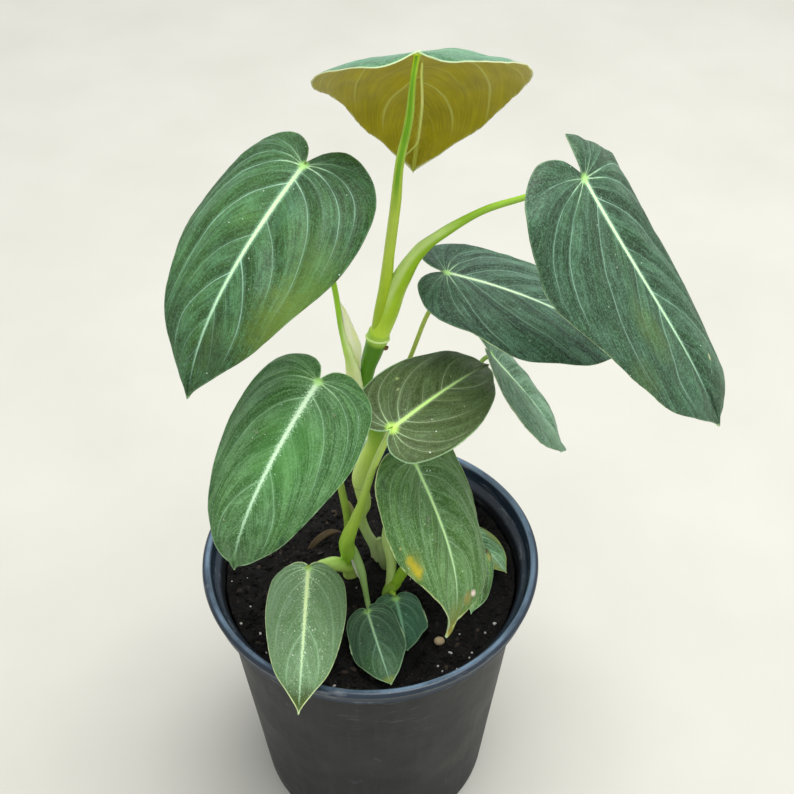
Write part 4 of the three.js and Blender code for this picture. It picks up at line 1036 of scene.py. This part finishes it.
STALK_SHADES = {
    "upper_right": [(0, "cce848"), (0.12, "bcdc38"), (0.35, "a8d028"), (0.6, "98c42c"), (1, "b0d858")],
    "top": [
        (0, "a4c018"), (0.2, "b4d02c"), (0.42, "cce058"), (0.6, "b8d43c"), (0.75, "9cc41c"), (0.95, "a8d028"),
        (1, "d8f838"),
    ],
    "upper_left": [(0, "f3f3aa"), (0.22, "f3f3b2"), (0.34, "ccf16c"), (0.45, "9fd22a"), (1, "a3d23a")],
    "mid_right": [(0, "a4bd37"), (1, "c0cd68")],
    "back_right": [(0, "bdd37a"), (0.3, "aec676"), (1, "9ebd5b")],
    "centre": [(0, "92c229"), (0.2, "a5cb46"), (0.45, "a9c64a"), (1, "c1dc71")],
    "mid_left": [(0, "84a03a"), (0.3, "96b048"), (0.6, "b4c870"), (1, "b4c870")],
    "front_left": [(0, "cdf367"), (0.5, "d2f387"), (1, "c8f079")],
    "front_small": [(0, "9cbc68"), (0.35, "9cbc70"), (0.7, "7c9c50"), (1, "c0dc98")],
}
PLAIN_STALK = [(0, "8cb428"), (1, "acc850")]
# The upper right stalk's pale stripe is a painted highlight along its lit upper side, partly the pale colour of
# its sheath edge.
STALK_STRIPES = {
    "top": (3.0, 0.5, "68a808", 0.5, 1.2), "upper_right": (2.1, 0.8, "d4ec90", 0.12, 0.62),
    "upper_left": (4.6, 1.3, "f0fcc0", -0.2, 0.5),
}
END_DEPTHS, SMALL_END_DEPTHS = (9, 1.2), (4.3, 1.2)  # a stalk's last two points below its blade
for name, (end_radius, route) in STALKS.items():
    turn, at = axes_of(LEAVES[name])
    depths = END_DEPTHS if LEAVES[name]["length"] > 70 and name != "back_right" else SMALL_END_DEPTHS
    ends = [(*(turn @ np.array((0, 0, -depth)) + at), end_radius) for depth in depths]
    shades, stripe = STALK_SHADES.get(name, PLAIN_STALK), STALK_STRIPES.get(name)
    skin = plant_skin(f"waxy {name.replace('_', ' ')} stalk skin", shades, stripe=stripe)
    stalk = tube(f"stalk_{name}", [*route, *ends], skin)
    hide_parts(f"petiole_{name}")

# ---------------------------------------------------------------- pale sheaths
# Thin see-through wings of the sheaths that wrapped the young leaves: a long one stands out from the
# upper left stalk, a small one clasps a front stalk, and a narrow edge runs up the upper right stalk.
# Their near-white base colour is pale sheath brightened with painted backlight, over the see-through glow.
sheath_skin, tree = new_finish("thin pale sheath")
_, veinlets = skin_fibres(tree, (0.05, 1.6), 1, 4)
add_node(tree, "OutputMaterial", add_node(tree, "BsdfPrincipled", {
    "Base Color": painted(tree, "e8ffa4", ("fcffd8", (veinlets, 0.35, 0.65))), "Roughness": 0.4, "IOR": 1.4,
    "Subsurface Weight": 1.0, "Subsurface Scale": 4 * MM, "Subsurface Radius": (0.8, 1.0, 0.5),
}))
WING_THICK, WING_PIECES, WING_ACROSS = 0.5, 40, 10


def wing(name, route, reach, turn, cup):
    """A thin strip that grows out from a stalk: reach(share) mm wide, starting at its surface, leaving in
    the direction turn (radians from +X, level) and curling by cup on its way out."""
    line, even = smooth_route(route, WING_PIECES)
    shape = bmesh.new()
    bmesh.ops.create_grid(shape, x_segments=WING_PIECES, y_segments=WING_ACROSS, size=1)
    marks = shape.verts.layers.float_vector.new("skin_place")
    for corner in shape.verts:
        i, share = round((corner.co.x + 1) / 2 * WING_PIECES), (corner.co.y + 1) / 2
        x, y, z, radius = line[i]
        wide = reach(i / WING_PIECES)
        out = radius * 0.7 + wide * share * (1 - 0.12 * cup * share)
        angle = turn + cup * share * share * 0.5
        x, y = x + out * math.cos(angle), y + out * math.sin(angle)
        corner.co = Vector((x, y, z + 0.25 * math.sin(i * 0.6) * share)) * MM
        corner[marks] = (even[i], wide * share, share)
    bmesh.ops.remove_doubles(shape, verts=shape.verts, dist=1e-6)
    bmesh.ops.solidify(shape, geom=shape.faces[:], thickness=WING_THICK * MM)
    bmesh.ops.recalc_face_normals(shape, faces=shape.faces)
    made = piece_from(name, shape, sheath_skin, smooth=60)
    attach(made, "root")
    return made


long_wing = wing("long_sheath_wing", [
    (-5.6, 5.6, 272, 3.4), (-5.8, 5.3, 279, 3.2), (-7.4, 4.8, 289.5, 2.1), (-9.7, 3.8, 302, 1.3),
    (-11, 2.7, 314, 1.25), (-11.6, 2.2, 322, 1.2),
], lambda share: 6.0 * min(1, max(0, share - 0.12) * 2.6) * (1 - share**3) ** 0.8 + 0.2, turn=0.15, cup=-0.7)
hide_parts("sheath_upper_left")
wing("small_sheath_wing", [
    (-8.2, -9.4, 178, 1.8), (-7.4, -9.4, 175, 2.1), (-4.6, -13.5, 168.5, 2.1), (-3, -19, 164.5, 1.6),
], lambda share: 1.8 * math.sin(math.pi * min(1, share * 1.1)) ** 0.7 + 0.1, turn=3.5, cup=0.4)
wing("stalk_sheath_edge", [
    (8, 9.5, 305, 4.3), (14, 8, 326, 3.9), (18, 6, 336, 3.3), (22, 3.8, 344.6, 2.7),
], lambda share: 0.9 * math.sin(math.pi * min(1, share * 1.02)) ** 0.5 + 0.1, turn=2.75, cup=0.2)

# ---------------------------------------------------------------- dry sheath
# An old leaf sheath, dried to a brown papery curl, lies on the mix at the back left. Its fibres have
# shrunk to ridges that run along it.
dry, tree = new_finish("dry papery husk")
_, fibres = skin_fibres(tree, (0.1, 4), 2, 5)
add_node(tree, "OutputMaterial", add_node(tree, "BsdfPrincipled", {
    "Base Color": painted(tree, "261c0e", ("564420", (fibres, 0.3, 0.7))), "Roughness": 0.8,
    "Normal": add_node(tree, "Bump", {"Strength": 0.8, "Distance": 0.6 * MM, "Height": fibres}),
}))
HUSK_ROUTE = [(-33, 12, 148.5, 1), (-28, 17, 152.2, 1.7), (-21, 22, 152.8, 1.8), (-13, 24, 149, 1.1)]
RIDGES, RIDGE_HIGH, RIDGE_WIND = 3, 0.18, 5


def ridged(share, angle):
    """The husk's ridges, which wind a little round it."""
    return 1 + RIDGE_HIGH * math.sin(RIDGES * angle + RIDGE_WIND * share)


husk = tube("dry_husk", HUSK_ROUTE, dry, swell=ridged)
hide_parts("dry_sheath")
